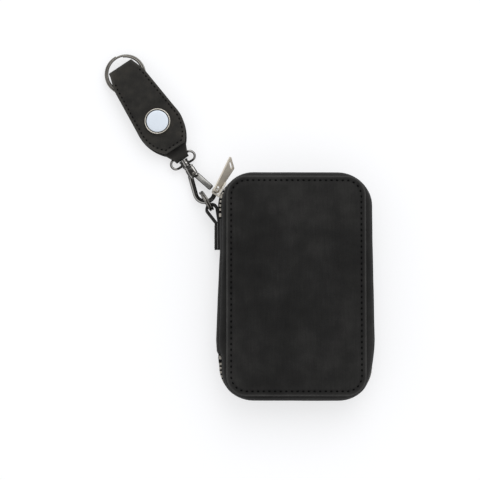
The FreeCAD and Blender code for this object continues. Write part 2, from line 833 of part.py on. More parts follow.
nodes = {
    "back_cover": cover(-1), "back_board": board(-1), "back_lining": lining(-1), "back_gusset": gusset(-1),
    "back_zip_tape": zip_tape(-1), "back_zip_teeth": zip_teeth(-1), "back_zip_stops": zip_stops(-1),
    "front_cover": cover(1), "front_board": board(1), "front_lining": lining(1), "front_gusset": gusset(1),
    "front_zip_tape": zip_tape(1), "front_zip_teeth": zip_teeth(1), "front_zip_stops": zip_stops(1),
    "spine_strip": spine_strip(), "loop_tab": loop_tab(), "loop_ring": loop_ring(),
    "key_rail": key_rail(), "key_rail_rivets": key_rail_rivets(),
    "slider_body": slider_body(), "slider_bridge": slider_bridge(), "pull_tag": pull_tag(),
    "hook_frame": hook_frame(), "gate_pin": gate_pin(), "hook_gate": hook_gate(),
    "swivel_eye": swivel_eye(), "swivel_post": swivel_post(),
    "fob_strap": fob_strap(), "fob_fold": fob_fold(), "fob_flap": fob_flap(), "key_ring": key_ring(),
    "snap_cap": snap_cap(), "snap_socket": snap_socket(),
    "snap_stud": snap_stud(), "snap_back": snap_back(),
}
nodes.update({f"key_hook_{i + 1}": key_hook(i) for i in range(key_hook_count)})
nodes.update({f"card_pocket_{i + 1}": card_pocket(i) for i in range(pocket_count)})

os.makedirs("parts", exist_ok=True)
for name, shape in nodes.items():
    shape.exportStep(f"parts/{name}.step")
    print(name, shape.isValid(), len(shape.Solids), round(shape.Volume, 2))
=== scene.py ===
import json
import math

import bmesh
import bpy
from mathutils import Matrix, Vector, noise


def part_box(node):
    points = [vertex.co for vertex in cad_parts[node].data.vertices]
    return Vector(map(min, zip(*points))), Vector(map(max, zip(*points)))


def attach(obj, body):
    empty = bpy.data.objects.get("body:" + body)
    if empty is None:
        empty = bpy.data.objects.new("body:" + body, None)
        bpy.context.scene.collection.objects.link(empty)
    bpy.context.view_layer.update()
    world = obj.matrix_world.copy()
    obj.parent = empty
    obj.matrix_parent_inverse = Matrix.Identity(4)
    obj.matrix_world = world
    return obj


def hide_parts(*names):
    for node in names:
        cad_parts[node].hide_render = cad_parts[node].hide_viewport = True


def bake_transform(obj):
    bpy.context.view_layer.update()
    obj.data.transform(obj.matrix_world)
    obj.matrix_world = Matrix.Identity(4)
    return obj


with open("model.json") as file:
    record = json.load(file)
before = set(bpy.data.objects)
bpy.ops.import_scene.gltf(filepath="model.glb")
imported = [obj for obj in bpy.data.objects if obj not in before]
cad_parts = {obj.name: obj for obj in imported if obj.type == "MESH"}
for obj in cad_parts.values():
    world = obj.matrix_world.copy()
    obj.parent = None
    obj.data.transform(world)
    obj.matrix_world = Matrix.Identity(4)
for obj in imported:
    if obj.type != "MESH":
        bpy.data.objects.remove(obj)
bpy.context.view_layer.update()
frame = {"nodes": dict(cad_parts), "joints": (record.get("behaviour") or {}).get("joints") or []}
mm = 0.001  # meshes are written in millimetres and made in metres
rightward, forward, upward = Vector((1, 0, 0)), Vector((0, 1, 0)), Vector((0, 0, 1))


# Places read from the frame

def nodeBox(node):
    low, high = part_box(node)
    return low / mm, high / mm


def jointLine(name):
    joint = next(j for j in frame["joints"] if j["name"] == name)
    return Vector(joint["pos_m"]) / mm, Vector(joint["axis"])


coverLow, coverHigh = nodeBox("front_cover")
case = {
    "coverWidth": coverHigh.x - coverLow.x,
    "coverLength": coverHigh.y - coverLow.y,
    "coverThickness": coverHigh.z - coverLow.z,
    "coverRadius": 10.0,
    "sideBulge": 3.75,
    "endBulge": 2.5,
    "bellyRadius": 17.5,
    "seamInset": 1.2,
    "spineHalf": 34.0,
    "middle": coverHigh.z / 2,
    # soft fullness of the sides: place along Y, and how much further out the wall lies there
    "leftFullness": [(-57, 0.0), (-52, -0.1), (-47, -0.75), (-42, -1.3), (-37, -1.4), (-34.5, -0.9),
                     (-33, 0.3), (-27, 0.7), (-17, 0.3), (-7, -0.1), (3, -0.55), (17, -1.2), (34, -1.1),
                     (48, -0.8), (57, -0.5)],
    "rightFullness": [(-57, 0.0), (-52, 0.0), (-47, -0.7), (-42, -0.55), (-37, 0.3), (-32, 1.0),
                      (-27, 1.3), (-17, 1.05), (-7, 0.9), (3, 0.6), (13, 0.45), (23, 0.2), (37, 0.15),
                      (45, 0.25), (57, 0.0)],
    # what the back half has more of on the left
    "backFullness": [(-47, 0.0), (-42, 0.6), (-37, 1.8), (-34.5, 1.4), (-33, 0.0), (20, 0.0), (30, 0.6),
                     (36, 1.5), (46, 1.6), (52, 0.8), (57, 0.0)],
}
case["halfWall"] = case["middle"] - case["coverThickness"]
print("frame loaded:", len(frame["nodes"]), "nodes")


# Shader maths: a wrapped socket whose operators add Math nodes

class Value:
    def __init__(self, finish, socket):
        self.finish = finish
        self.socket = socket

    def math(self, operation, first, second, clamp=False):
        settings = {"operation": operation, "use_clamp": clamp}
        made = self.finish.node("ShaderNodeMath", settings, {0: first, 1: second})
        return Value(self.finish, made.outputs[0])

    def __add__(self, other):
        return self.math("ADD", self, other)

    def __sub__(self, other):
        return self.math("SUBTRACT", self, other)

    def __rsub__(self, other):
        return self.math("SUBTRACT", other, self)

    def __mul__(self, other):
        return self.math("MULTIPLY", self, other)

    __radd__ = __add__
    __rmul__ = __mul__

    def clamped(self):
        return self.math("ADD", self, 0.0, True)


class Shading:
    def __init__(self, tree):
        self.tree = tree

    def node(self, kind, settings=None, sockets=None):
        made = self.tree.nodes.new(kind)
        for key, value in (settings or {}).items():
            if key == "stops":
                stops = made.color_ramp.elements
                while len(stops) < len(value):
                    stops.new(1.0)
                for stop, (place, colour) in zip(stops, value):
                    stop.position = place
                    stop.color = (*colour, 1.0)
            else:
                setattr(made, key, value)
        for key, value in (sockets or {}).items():
            if isinstance(value, Value):
                self.tree.links.new(value.socket, made.inputs[key])
            else:
                made.inputs[key].default_value = value
        return made

    def out(self, made, name=0):
        return Value(self, made.outputs[name])

    def ramp(self, factor, stops):
        return self.out(self.node("ShaderNodeValToRGB", {"stops": stops}, {"Fac": factor}), "Color")


class Finish(Shading):
    def __init__(self, name, constants):
        self.material = bpy.data.materials.new(name)
        self.material.use_nodes = True
        super().__init__(self.material.node_tree)
        self.shader = self.tree.nodes["Principled BSDF"]
        for socket, value in constants.items():
            self.shader.inputs[socket].default_value = value

    def place(self, stretch=(1, 1, 1)):
        coords = self.out(self.node("ShaderNodeTexCoord"), "Object")
        return self.out(self.node("ShaderNodeVectorMath", {"operation": "MULTIPLY"}, {0: coords, 1: stretch}))

    def noise(self, scale, detail=3.0, roughness=0.55, stretch=(1, 1, 1)):
        sockets = {"Vector": self.place(stretch), "Scale": scale, "Detail": detail, "Roughness": roughness}
        return self.out(self.node("ShaderNodeTexNoise", {}, sockets), "Fac")

    def wave(self, scale, direction, distortion=0.0):
        sockets = {"Vector": self.place(), "Scale": scale, "Distortion": distortion, "Detail": 1.0}
        return self.out(self.node("ShaderNodeTexWave", {"bands_direction": direction}, sockets), "Fac")

    def cells(self, scale):
        sockets = {"Vector": self.place(), "Scale": scale}
        return self.out(self.node("ShaderNodeTexVoronoi", {}, sockets), "Distance")

    def attribute(self, name):
        return self.out(self.node("ShaderNodeAttribute", {"attribute_name": name}), "Fac")

    def mix(self, factor, first, second):
        first, second = (c if isinstance(c, Value) else (*c, 1.0) for c in (first, second))
        sockets = {0: factor, 6: first, 7: second}
        return self.out(self.node("ShaderNodeMix", {"data_type": "RGBA"}, sockets), 2)

    def bump(self, height, distance, strength):
        sockets = {"Height": height, "Distance": distance, "Strength": strength}
        return self.out(self.node("ShaderNodeBump", {}, sockets))

    def feed(self, **links):
        names = {"colour": "Base Color", "roughness": "Roughness", "normal": "Normal"}
        for key, value in links.items():
            self.tree.links.new(value.socket, self.shader.inputs[names[key]])
        return self.material


# Finishes: scales are per metre, depths in metres

leatherGrain = {"streakScale": 90.0, "streakStretch": (14, 1, 14), "napScale": 2600.0, "poreScale": 1500.0,
                "depth": 0.00012}
clothGrain = {"distortion": 0.6, "dustScale": 180.0, "depth": 0.00015}
metalGrain = {"scratchScale": 700.0, "scratchStretch": (1, 9, 3), "depth": 0.00002, "strength": 0.15}


def nubuck(name, look):
    finish = Finish(name, {"Specular IOR Level": 0.12, "Sheen Weight": 0.06, "Sheen Roughness": 0.5})
    clouds = finish.noise(look["cloudScale"], 2.0, 0.5)
    patches = finish.noise(look["cloudScale"] * 4, 3.0, 0.6)
    streaks = finish.noise(leatherGrain["streakScale"], 3.0, 0.6, leatherGrain["streakStretch"])
    nap = finish.noise(leatherGrain["napScale"], 2.0, 0.7)
    tone = clouds * 0.65 + patches * 0.4 + (streaks - 0.5) * look["streaks"] + nap * 0.25 - 0.16
    colour = finish.ramp(tone, [(0.3, look["dark"]), (0.5, look["mid"]), (0.72, look["pale"])])
    # lighter on rims, ridges and edges: partly wear, partly a painted highlight on the rolled edges
    wornAndLit = (finish.attribute("wear") * (patches * 0.9 + 0.45)).clamped()
    height = nap * 0.6 + streaks * 0.5 + finish.cells(leatherGrain["poreScale"]) * 0.5
    return finish.feed(colour=finish.mix(wornAndLit, colour, look["wornAndLit"]), roughness=patches * 0.2 + 0.72,
                       normal=finish.bump(height, leatherGrain["depth"], 0.5))


def thread(name, look):
    finish = Finish(name, {"Specular IOR Level": 0.05})
    twist = finish.wave(look["twistScale"], "DIAGONAL")
    shaded = [c * look["shade"] for c in look["colour"]]
    return finish.feed(colour=finish.mix(twist, shaded, look["colour"]), roughness=twist * 0.2 + 0.55,
                       normal=finish.bump(twist, look["depth"], 0.6))


def woven(name, look):
    finish = Finish(name, {"Specular IOR Level": 0.15, "Sheen Weight": 0.05})
    warp = finish.wave(look["threads"], "DIAGONAL", clothGrain["distortion"])
    weft = finish.wave(look["threads"], "Z", clothGrain["distortion"])
    weave = warp * 0.55 + weft * 0.45
    dust = finish.noise(clothGrain["dustScale"])
    tone = (weave * 0.7 + dust * 0.5 - 0.1).clamped()
    return finish.feed(colour=finish.mix(tone, look["dark"], look["pale"]), roughness=weave * 0.15 + 0.75,
                       normal=finish.bump(weave, clothGrain["depth"], 0.7))


def metal(name, look):
    finish = Finish(name, {"Metallic": look.get("metallic", 1.0)})
    smudge = finish.noise(look["smudge"])
    scratch = finish.noise(metalGrain["scratchScale"], 2.0, 0.6, metalGrain["scratchStretch"])
    colour = finish.mix((smudge * 0.8 + scratch * 0.4 - 0.1).clamped(), look["dark"], look["pale"])
    # painted highlight in a band of the painted-light value, painted shade where that value is negative
    if "paintedHighlight" in look:
        rub = finish.attribute("rub")
        edge = rub - look["paintedHighlightAt"]
        colour = finish.mix((1.1 - edge * edge * 12).clamped(), colour, look["paintedHighlight"])
        colour = finish.mix((rub * -2.4 - 0.1).clamped(), colour, look["shaded"])
    return finish.feed(colour=colour, roughness=smudge * look["uneven"] + scratch * 0.06 + look["roughness"],
                       normal=finish.bump(scratch, metalGrain["depth"], metalGrain["strength"]))


def toothed(name, look, middle):
    # zip metal, with painted shade near the middle where the teeth mesh
    finish = Finish(name, {"Metallic": 1.0})
    place = finish.node("ShaderNodeSeparateXYZ", {}, {0: finish.place()})
    away = (finish.out(place, "Z") - middle * mm) * (1 / mm)  # millimetres from the middle
    unshaded = (away * away * 0.55 - 0.35).clamped()
    grain = finish.noise(look["grain"])
    bright = finish.mix(grain, look["dark"], look["pale"])
    return finish.feed(colour=finish.mix(unshaded, look["paintedShade"], bright),
                       roughness=grain * 0.12 + look["roughness"],
                       normal=finish.bump(grain, metalGrain["depth"], metalGrain["strength"]))


def fibre(name, look):
    finish = Finish(name, {"Specular IOR Level": 0.2})
    specks = finish.noise(look["grain"], 4.0, 0.7)
    return finish.feed(colour=finish.mix(specks, look["dark"], look["pale"]), roughness=specks * 0.1 + 0.85,
                       normal=finish.bump(specks, look["depth"], 0.4))


caseLeatherLook = {"cloudScale": 34.0, "streaks": 0.2, "dark": (0.0075, 0.0074, 0.0072),
                   "mid": (0.0135, 0.0133, 0.0128), "pale": (0.024, 0.0235, 0.0225),
                   "wornAndLit": (0.05, 0.049, 0.047)}
fobLeatherLook = {"cloudScale": 60.0, "streaks": 0.12, "dark": (0.013, 0.0126, 0.0118),
                  "mid": (0.0245, 0.0235, 0.0215), "pale": (0.041, 0.0375, 0.032),
                  "wornAndLit": (0.058, 0.055, 0.05)}
threadLook = {"colour": (0.0025, 0.0025, 0.0027), "twistScale": 420.0, "shade": 0.6, "depth": 0.0001}
tapeLook = {"threads": 330.0, "dark": (0.004, 0.0045, 0.008), "pale": (0.013, 0.014, 0.022)}
liningLook = {"threads": 260.0, "dark": (0.012, 0.012, 0.013), "pale": (0.035, 0.035, 0.037)}
# the last three entries: painted highlight colour, where its band lies, painted shade colour
gunmetalLook = {"dark": (0.022, 0.0212, 0.02), "pale": (0.07, 0.068, 0.064), "smudge": 160.0,
                "uneven": 0.06, "roughness": 0.08, "paintedHighlight": (0.4, 0.392, 0.377), "paintedHighlightAt": 0.42,
                "shaded": (0.008, 0.0078, 0.0074)}
gateLook = {"dark": (0.25, 0.247, 0.236), "pale": (0.34, 0.335, 0.32), "smudge": 160.0,
            "uneven": 0.1, "roughness": 0.2}
nickelLook = {"dark": (0.6, 0.56, 0.49), "pale": (0.72, 0.68, 0.61), "smudge": 140.0,
              "uneven": 0.1, "roughness": 0.18}
# the dark colour is painted shade where the teeth mesh
toothLook = {**nickelLook, "paintedShade": (0.03, 0.028, 0.026), "grain": 500.0, "roughness": 0.2}
tagLook = {"dark": (0.6, 0.545, 0.46), "pale": (0.68, 0.625, 0.535), "smudge": 140.0,
           "uneven": 0.08, "roughness": 0.34, "metallic": 0.12}
steelLook = {"dark": (0.13, 0.123, 0.111), "pale": (0.24, 0.229, 0.209), "smudge": 150.0,
             "uneven": 0.08, "roughness": 0.11}
# dark metal used as painted shade on the gate's sides and in the snap's groove
shadeLook = {"dark": (0.01, 0.0098, 0.0094), "pale": (0.02, 0.0195, 0.0185), "smudge": 150.0,
             "uneven": 0.05, "roughness": 0.3}
pearlLook = {"dark": (0.7, 0.765, 0.845), "pale": (0.74, 0.8, 0.875), "smudge": 90.0,
             "uneven": 0.05, "roughness": 0.3, "metallic": 0.15}
boardLook = {"grain": 900.0, "depth": 0.0001, "dark": (0.012, 0.011, 0.01), "pale": (0.03, 0.028, 0.025)}

caseLeather = nubuck("case_nubuck", caseLeatherLook)
fobLeather = nubuck("fob_nubuck", fobLeatherLook)
caseThread = thread("case_thread", threadLook)
tapeCloth = woven("zip_tape_cloth", tapeLook)
liningCloth = woven("lining_twill", liningLook)
gunmetal = metal("gunmetal", gunmetalLook)
nickel = metal("champagne_nickel", nickelLook)
gateMetal = metal("gate_nickel", gateLook)
shadeMetal = metal("painted_shade_metal", shadeLook)
toothMetal = toothed("zip_tooth_nickel", toothLook, case["middle"])
steel = metal("nickel_plated_steel", steelLook)
tagMetal = metal("champagne_satin", tagLook)
pearl = metal("pearl_disc", pearlLook)
boardFibre = fibre("fibre_board", boardLook)
print("finishes made:", len(bpy.data.materials))


# Mesh helpers

mergeWithin = 1e-7  # metres


def wobble(p, scale, amount):
    return noise.noise(p * scale) * amount


def setValues(mesh, name, values):
    mesh.attributes.new(name, "FLOAT", "POINT").data.foreach_set("value", values)


def addObject(name, data):
    made = bpy.data.objects.new(name, data)
    bpy.context.scene.collection.objects.link(made)
    return made


def makePiece(name, verts, faces, material, slot, body=None, replaces=(), wear=None):
    mesh = bpy.data.meshes.new(name)
    mesh.from_pydata([Vector(v) * mm for v in verts], [], faces)
    if wear:
        setValues(mesh, "wear", wear)
    work = bmesh.new()
    work.from_mesh(mesh)
    bmesh.ops.remove_doubles(work, verts=work.verts, dist=mergeWithin)
    bmesh.ops.recalc_face_normals(work, faces=work.faces)
    work.to_mesh(mesh)
    work.free()
    mesh.materials.append(material)
    mesh.shade_smooth()
    piece = addObject(name, mesh)
    if body:
        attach(piece, body)
    if replaces:
        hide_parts(*replaces)
    return piece


def shifted(faces, by):
    return [tuple(by + i for i in face) for face in faces]


def bandFaces(rings, count, closedRound, closedAcross):
    # quads between rings of count points each
    faces = []
    for ring in range(rings if closedAcross else rings - 1):
        here, there = ring * count, (ring + 1) % rings * count
        for i in range(count if closedRound else count - 1):
            after = (i + 1) % count
            faces.append((here + i, here + after, there + after, there + i))
    return faces


def tubeFaces(rings, count):
    # closed rings with a face over each end
    last = (rings - 1) * count
    ends = [tuple(range(count)), tuple(last + i for i in range(count))]
    return bandFaces(rings, count, True, False) + ends


def skinFaces(rows, count):
    # two layers of rows, closed by a rim
    layer = rows * count
    faces = bandFaces(rows, count, False, False)
    faces += shifted(faces, layer)
    rim = list(range(count)) + [row * count + count - 1 for row in range(1, rows)]
    rim += [layer - count + i for i in reversed(range(count - 1))]
    rim += [row * count for row in reversed(range(1, rows - 1))]
    return faces + [(a, b, layer + b, layer + a) for a, b in zip(rim, rim[1:] + rim[:1])]


def joined(*meshes):
    verts, faces = [], []
    for points, corners in meshes:
        faces += shifted(corners, len(verts))
        verts += points
    return verts, faces


def circlePoints(centre, right, up, count):
    angles = [2 * math.pi * i / count for i in range(count)]
    return [centre + right * math.cos(a) + up * math.sin(a) for a in angles]


def arcPath(centre, radius, first, last, steps, right, up):
    angles = [math.radians(first + (last - first) * i / steps) for i in range(steps + 1)]
    return [centre + right * radius * math.cos(a) + up * radius * math.sin(a) for a in angles]


def runPath(first, last, steps):
    # points between the two, without them
    return [first.lerp(last, i / steps) for i in range(1, steps)]


def curvePoint(controls, place):
    # Catmull-Rom through the controls, whose first and last only steer
    span = min(int(place), len(controls) - 4)
    t = place - span
    a, b, c, d = (Vector(v) for v in controls[span:span + 4])
    square, cube = 2 * a - 5 * b + 4 * c - d, 3 * b - 3 * c + d - a
    return 0.5 * (2 * b + (c - a) * t + square * t ** 2 + cube * t ** 3)


def between(steps, value):
    # height from a list of (distance, height) steps
    for (near, low), (far, high) in zip(steps, steps[1:]):
        if value <= far:
            share = (value - near) / (far - near)
            return low + (high - low) * max(share, 0.0)
    return steps[-1][1]


# Rings round the case, clockwise from the top end of the spine

ringSteps = {"corner": 14, "short": 18, "long": 36}
tightestCorner = 0.6


def caseRing(width, length, radius, height):
    x, y = width / 2 - radius, length / 2 - radius
    corners = [(-x, y, 180), (x, y, 90), (x, -y, 0), (-x, -y, -90)]
    sides = [ringSteps["short"], ringSteps["long"]] * 2
    arcs = [arcPath(Vector((cornerX, cornerY, height)), radius, first, first - 90, ringSteps["corner"],
                    rightward, forward) for cornerX, cornerY, first in corners]
    ring = []
    for arc, after, steps in zip(arcs, arcs[1:] + arcs[:1], sides):
        ring += arc + runPath(arc[-1], after[0], steps)
    return ring


def panelRing(width, length, radius, inset, height):
    corner = max(radius - inset, tightestCorner)
    return caseRing(width - 2 * inset, length - 2 * inset, corner, height)


# Stitches: short threads that dip into the leather at both ends

stitch = {"pitch": 2.78, "length": 1.3, "radius": 0.38, "rise": 0.02, "sink": 0.2, "blunt": 0.04,
          "rings": 7, "sides": 6}


def stitchRow(name, path, outward, body, slot="leather", closed=True, look=stitch):
    line = path + path[:1] if closed else path
    lengths = [0.0]
    for a, b in zip(line, line[1:]):
        lengths.append(lengths[-1] + (b - a).length)
    count = max(1, round(lengths[-1] / look["pitch"]))
    rings, sides = look["rings"], look["sides"]
    verts, faces, span = [], [], 0
    for index in range(count):
        target = (index + 0.5) * lengths[-1] / count
        while lengths[span + 1] < target:
            span += 1
        along = (line[span + 1] - line[span]).normalized()
        share = (target - lengths[span]) / (lengths[span + 1] - lengths[span])
        middle = line[span].lerp(line[span + 1], share)
        up = outward(middle).normalized()
        side = along.cross(up).normalized()
        faces += shifted(tubeFaces(rings, sides), len(verts))
        for ring in range(rings):
            t = 2 * ring / (rings - 1) - 1
            rise = look["rise"] * (1 - t * t) - look["sink"] * t * t
            centre = middle + along * t * look["length"] / 2 + up * rise
            thick = look["radius"] * math.sqrt(max(1 - t ** 4, look["blunt"]))
            verts += circlePoints(centre, side * thick, up * thick, sides)
    return makePiece(name, verts, faces, caseThread, slot, body)


# Leather covers: turned edge, sewn groove and a slightly full middle

cover = {
    # inset from the outline, height over the outer face, wear and painted highlight
    "profile": [(1.5, -2.0, 0), (0.3, -2.0, 0), (0.06, -1.8, 0), (0.0, -1.3, 0.0), (0.06, -0.75, 0.2),
                (0.26, -0.34, 0.9), (0.6, -0.1, 0.7), (1.05, 0.0, 0.15), (1.6, -0.05, 0.05), (2.0, -0.2, 0.0),
                (2.4, -0.3, 0.0), (2.8, -0.2, 0.0), (3.2, -0.05, 0.05), (3.8, 0.03, 0.08), (5.2, 0.08, 0.03),
                (8.0, 0.14, 0), (13.0, 0.2, 0), (20.0, 0.26, 0), (27.0, 0.3, 0), (33.5, 0.32, 0)],
    "stitchInset": 2.4,
    "stitchHeight": -0.22,
    "uneven": 0.12,
    "unevenScale": 0.06,
    "unevenFrom": 10.0,
}


def makeCover(half, side):
    verts, wear = [], []
    outer = case["middle"] + side * case["middle"]
    outline = (case["coverWidth"], case["coverLength"], case["coverRadius"])
    for inset, rise, wornAndLit in cover["profile"]:
        fullness = rise if side > 0 else min(rise, 0.0)
        uneven = cover["uneven"] * min(inset / cover["unevenFrom"], 1.0) if side > 0 else 0.0
        ring = panelRing(*outline, inset, 0.0)
        for p in ring:
            soft = wobble(p, cover["unevenScale"], uneven)
            verts.append(Vector((p.x, p.y, outer + side * (fullness + soft))))
        wear += [wornAndLit] * len(ring)
    faces = tubeFaces(len(cover["profile"]), len(ring))
    makePiece(half + "_leather_cover", verts, faces, caseLeather, "leather", half + "_half",
              [half + "_cover"], wear)
    sewn = panelRing(*outline, cover["stitchInset"], outer + side * cover["stitchHeight"])
    stitchRow(half + "_cover_stitches", sewn, lambda p: upward * side, half + "_half")


# Bulged walls and zip tapes, from the cover's seam to the zip

wall = {
    # share of the half height over the middle, share of the bulge
    "seam": (1.0, -0.3),
    "curve": [(1.05, -0.4), (0.93, 0.02), (0.75, 0.62), (0.4, 0.94), (0.08, 1.0), (-0.3, 1.03)],
    "steps": 9,
    "wear": 0.06,
    # place on the curve and depth of the sewn groove by the zip
    "groove": [(1.6, 0.0), (1.7, 0.28), (1.8, 0.28), (1.9, 0.0)],
    "edgeAt": 2.0, "edgeWearAndHighlight": 0.18,
    # the turned lip and the inside: shares as above, inset, wear and painted highlight
    "lip": [(0.385, 0.95, 0.1, 0.3), (0.365, 0.95, 0.4, 0.3), (0.365, 0.95, 0.7, 0.0),
            (0.385, 0.945, 1.0, 0.0), (0.55, 0.84, 1.1, 0.0), (0.75, 0.6, 1.1, 0.0), (0.93, 0.0, 1.1, 0.0)],
    "stitchAt": 1.75,
    "stitchInset": 0.35,
    "uneven": 0.15,
    "unevenScale": 0.05,
    "fullest": 2.0,
}
# the tape follows the wall's fullness only a little, because the teeth do not
tape = {"outerInset": 1.15, "innerInset": 1.95, "from": 1.2, "to": 3.0, "steps": 6, "bead": 0.18,
        "outerPast": 0.02, "innerPast": 0.03, "fullest": 0.2}


def wallRing(share, reach, inset, side, uneven=0.0, fullest=wall["fullest"]):
    seam = case["seamInset"]
    width = case["coverWidth"] - 2 * seam + reach * 2 * (case["sideBulge"] + seam)
    length = case["coverLength"] - 2 * seam + reach * 2 * (case["endBulge"] + seam)
    radius = case["coverRadius"] - seam + reach * (case["bellyRadius"] - case["coverRadius"] + seam)
    height = case["middle"] + side * share * case["halfWall"]
    full = []
    for p in caseRing(width - 2 * inset, length - 2 * inset, radius - inset, height):
        fullness = between(case["leftFullness"] if p.x < 0 else case["rightFullness"], p.y)
        if side < 0 and p.x < 0:
            fullness += between(case["backFullness"], p.y)
        outward = Vector((p.x / width * 2, 0, 0)) * min(fullness, fullest) * reach
        soft = wobble(p, wall["unevenScale"], uneven * reach)
        full.append(p + outward + Vector((p.x, p.y, 0)).normalized() * soft)
    return full


def makeWall(half, side):
    rings = [wallRing(*wall["seam"], 0.0, side)]
    count = len(rings[0])
    wear = [0.0] * count
    plainEnd = wall["groove"][0][0]
    outer = [(plainEnd * step / wall["steps"], 0.0) for step in range(wall["steps"])]
    for place, depth in outer + wall["groove"] + [(wall["edgeAt"], 0.0)]:
        share, reach = curvePoint(wall["curve"], place).xy
        rings.append(wallRing(share, reach, depth, side, wall["uneven"]))
        wear += [wall["edgeWearAndHighlight"] if place == wall["edgeAt"] else wall["wear"]] * count
    for share, reach, inset, wornAndLit in wall["lip"]:
        rings.append(wallRing(share, reach, inset, side, wall["uneven"]))
        wear += [wornAndLit] * count
    verts = [p for ring in rings for p in ring]
    faces = bandFaces(len(rings), count, True, True)
    makePiece(half + "_leather_wall", verts, faces, caseLeather, "leather", half + "_half",
              [half + "_gusset"], wear)
    share, reach = curvePoint(wall["curve"], wall["stitchAt"]).xy
    stitchRow(half + "_wall_stitches", wallRing(share, reach, wall["stitchInset"], side, wall["uneven"]),
              lambda p: Vector((p.x * case["coverLength"] / case["coverWidth"], p.y, 0)), half + "_half")


def makeTape(half, side):
    def tapeRing(spot, inset, past=0.0):
        return wallRing(spot[0] - past, spot[1], inset, side, fullest=tape["fullest"])

    last = tape["steps"] - 1
    places = [tape["from"] + (tape["to"] - tape["from"]) * step / last for step in range(tape["steps"])]
    spots = [curvePoint(wall["curve"], place) for place in places]
    end = wall["curve"][-2]
    rings = [tapeRing(spot, tape["outerInset"]) for spot in spots]
    rings.append(tapeRing(end, tape["outerInset"] - tape["bead"], tape["outerPast"]))
    rings.append(tapeRing(end, tape["innerInset"] + tape["bead"], tape["innerPast"]))
    rings += [tapeRing(spot, tape["innerInset"]) for spot in reversed(spots)]
    # open along the spine
    start = len(rings[0]) - ringSteps["long"] + 1
    spineSide = range(start, len(rings[0]))
    low = [i for i in spineSide if rings[0][i].y < -case["spineHalf"]]
    high = [i for i in spineSide if rings[0][i].y > case["spineHalf"]]
    order = high + list(range(start)) + low
    count = len(order)
    verts = [ring[i] for ring in rings for i in order]
    faces = bandFaces(len(rings), count, False, True)
    faces.append(tuple(ring * count for ring in range(len(rings))))
    faces.append(tuple(ring * count + count - 1 for ring in range(len(rings))))
    makePiece(half + "_zip_cloth", verts, faces, tapeCloth, "zip_tape", half + "_half", [half + "_zip_tape"])


# Inside panels: linings and stepped card pockets

panel = {
    # inset from the outline, share of the thickness
    "edge": [(1.2, 0.0), (0.15, 0.0), (0.0, 0.25), (0.0, 0.6), (0.12, 0.9), (0.5, 1.0), (1.2, 0.97),
             (1.6, 0.9), (2.0, 0.97)],
    "insets": [4.0, 10.0, 18.0],
    "middleHalf": 1.5,
    "pocketRadius": 6.0,
    "pocketStitch": 1.6,
    "liningRadius": 10.5,
}


def makePanel(name, node, radius, facing, material, slot, body):
    low, high = nodeBox(node)
    width, length = high.x - low.x, high.y - low.y
    middle = (low + high) / 2
    base, top = (low.z, high.z) if facing > 0 else (high.z, low.z)
    rings = [(inset, base + (top - base) * share) for inset, share in panel["edge"]]
    deepest = min(width, length) / 2 - panel["middleHalf"]
    rings += [(inset, top) for inset in panel["insets"] + [deepest] if inset <= deepest]
    verts = []
    for inset, height in rings:
        ring = panelRing(width, length, radius, inset, 0.0)
        verts += [Vector((p.x + middle.x, p.y + middle.y, height)) for p in ring]
    makePiece(name, verts, tubeFaces(len(rings), len(ring)), material, slot, body, [node])
    return width, length, middle, top


def makePocket(index):
    width, length, middle, top = makePanel(f"leather_pocket_{index}", f"card_pocket_{index}",
                                           panel["pocketRadius"], -1, caseLeather, "leather", "front_half")
    ring = panelRing(width, length, panel["pocketRadius"], panel["pocketStitch"], top)
    sewn = [Vector((p.x + middle.x, p.y + middle.y, p.z)) for p in ring]
    edge = middle.y + length / 2 - 2 * panel["pocketStitch"]  # the pocket is open above this
    first = next(i for i, p in enumerate(sewn) if p.x > middle.x and p.y < edge)
    openPath = [p for p in sewn[first:] + sewn[:first] if p.y < edge]
    stitchRow(f"pocket_stitches_{index}", openPath, lambda p: -upward, "front_half", closed=False)


# Spine: one leather skin

spine = {"edgeShare": 0.42, "edgeInset": 0.35, "edgeAt": 1.95, "ridge": 0.55, "roundness": 0.8,
         "thickness": 1.05, "across": 22, "along": 48, "endGap": 0.2, "follow": 0.95, "uneven": 0.12,
         "unevenScale": 0.08, "wear": 0.1, "ridgeWearAndHighlight": 0.22, "ridgeHalf": 0.3, "bendShare": 0.75}


def makeSpine():
    reach = curvePoint(wall["curve"], spine["edgeAt"]).y
    edge = wallRing(spine["edgeShare"], reach, spine["edgeInset"], 1)[-ringSteps["long"] // 2]
    edge.x += between(case["leftFullness"], edge.y) * spine["follow"]
    halfLength = case["spineHalf"] - spine["endGap"]
    halfHeight = edge.z - case["middle"]
    ridge = -case["coverWidth"] / 2 - case["sideBulge"] - spine["ridge"]
    rows, count = spine["along"] + 1, spine["across"] + 1
    verts, wear = [], []
    for depth in (0.0, spine["thickness"]):
        for i in range(rows):
            y = halfLength * (2 * i / spine["along"] - 1)
            for j in range(count):
                t = 2 * j / spine["across"] - 1
                x = edge.x + (ridge - edge.x) * math.cos(t * math.pi / 2) ** spine["roundness"] + depth
                x -= between(case["leftFullness"], y) * spine["follow"]
                x += wobble(Vector((0, y, t)), spine["unevenScale"], spine["uneven"])
                verts.append(Vector((x, y, case["middle"] + t * halfHeight)))
                onRidge = abs(t) < spine["ridgeHalf"] and depth == 0
                wear.append(spine["ridgeWearAndHighlight"] if onRidge else spine["wear"])
    skin = makePiece("leather_spine", verts, skinFaces(rows, count), caseLeather, "leather",
                     replaces=["spine_strip"], wear=wear)
    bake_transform(skin)


for half, side in (("back", -1), ("front", 1)):
    makeCover(half, side)
    makeWall(half, side)
    makeTape(half, side)
    makePanel(half + "_lining_cloth", half + "_lining", panel["liningRadius"], -side, liningCloth, "lining",
              half + "_half")
for index in (1, 2, 3):
    makePocket(index)
makeSpine()
print("case made")


# Flat straps that follow a centre line

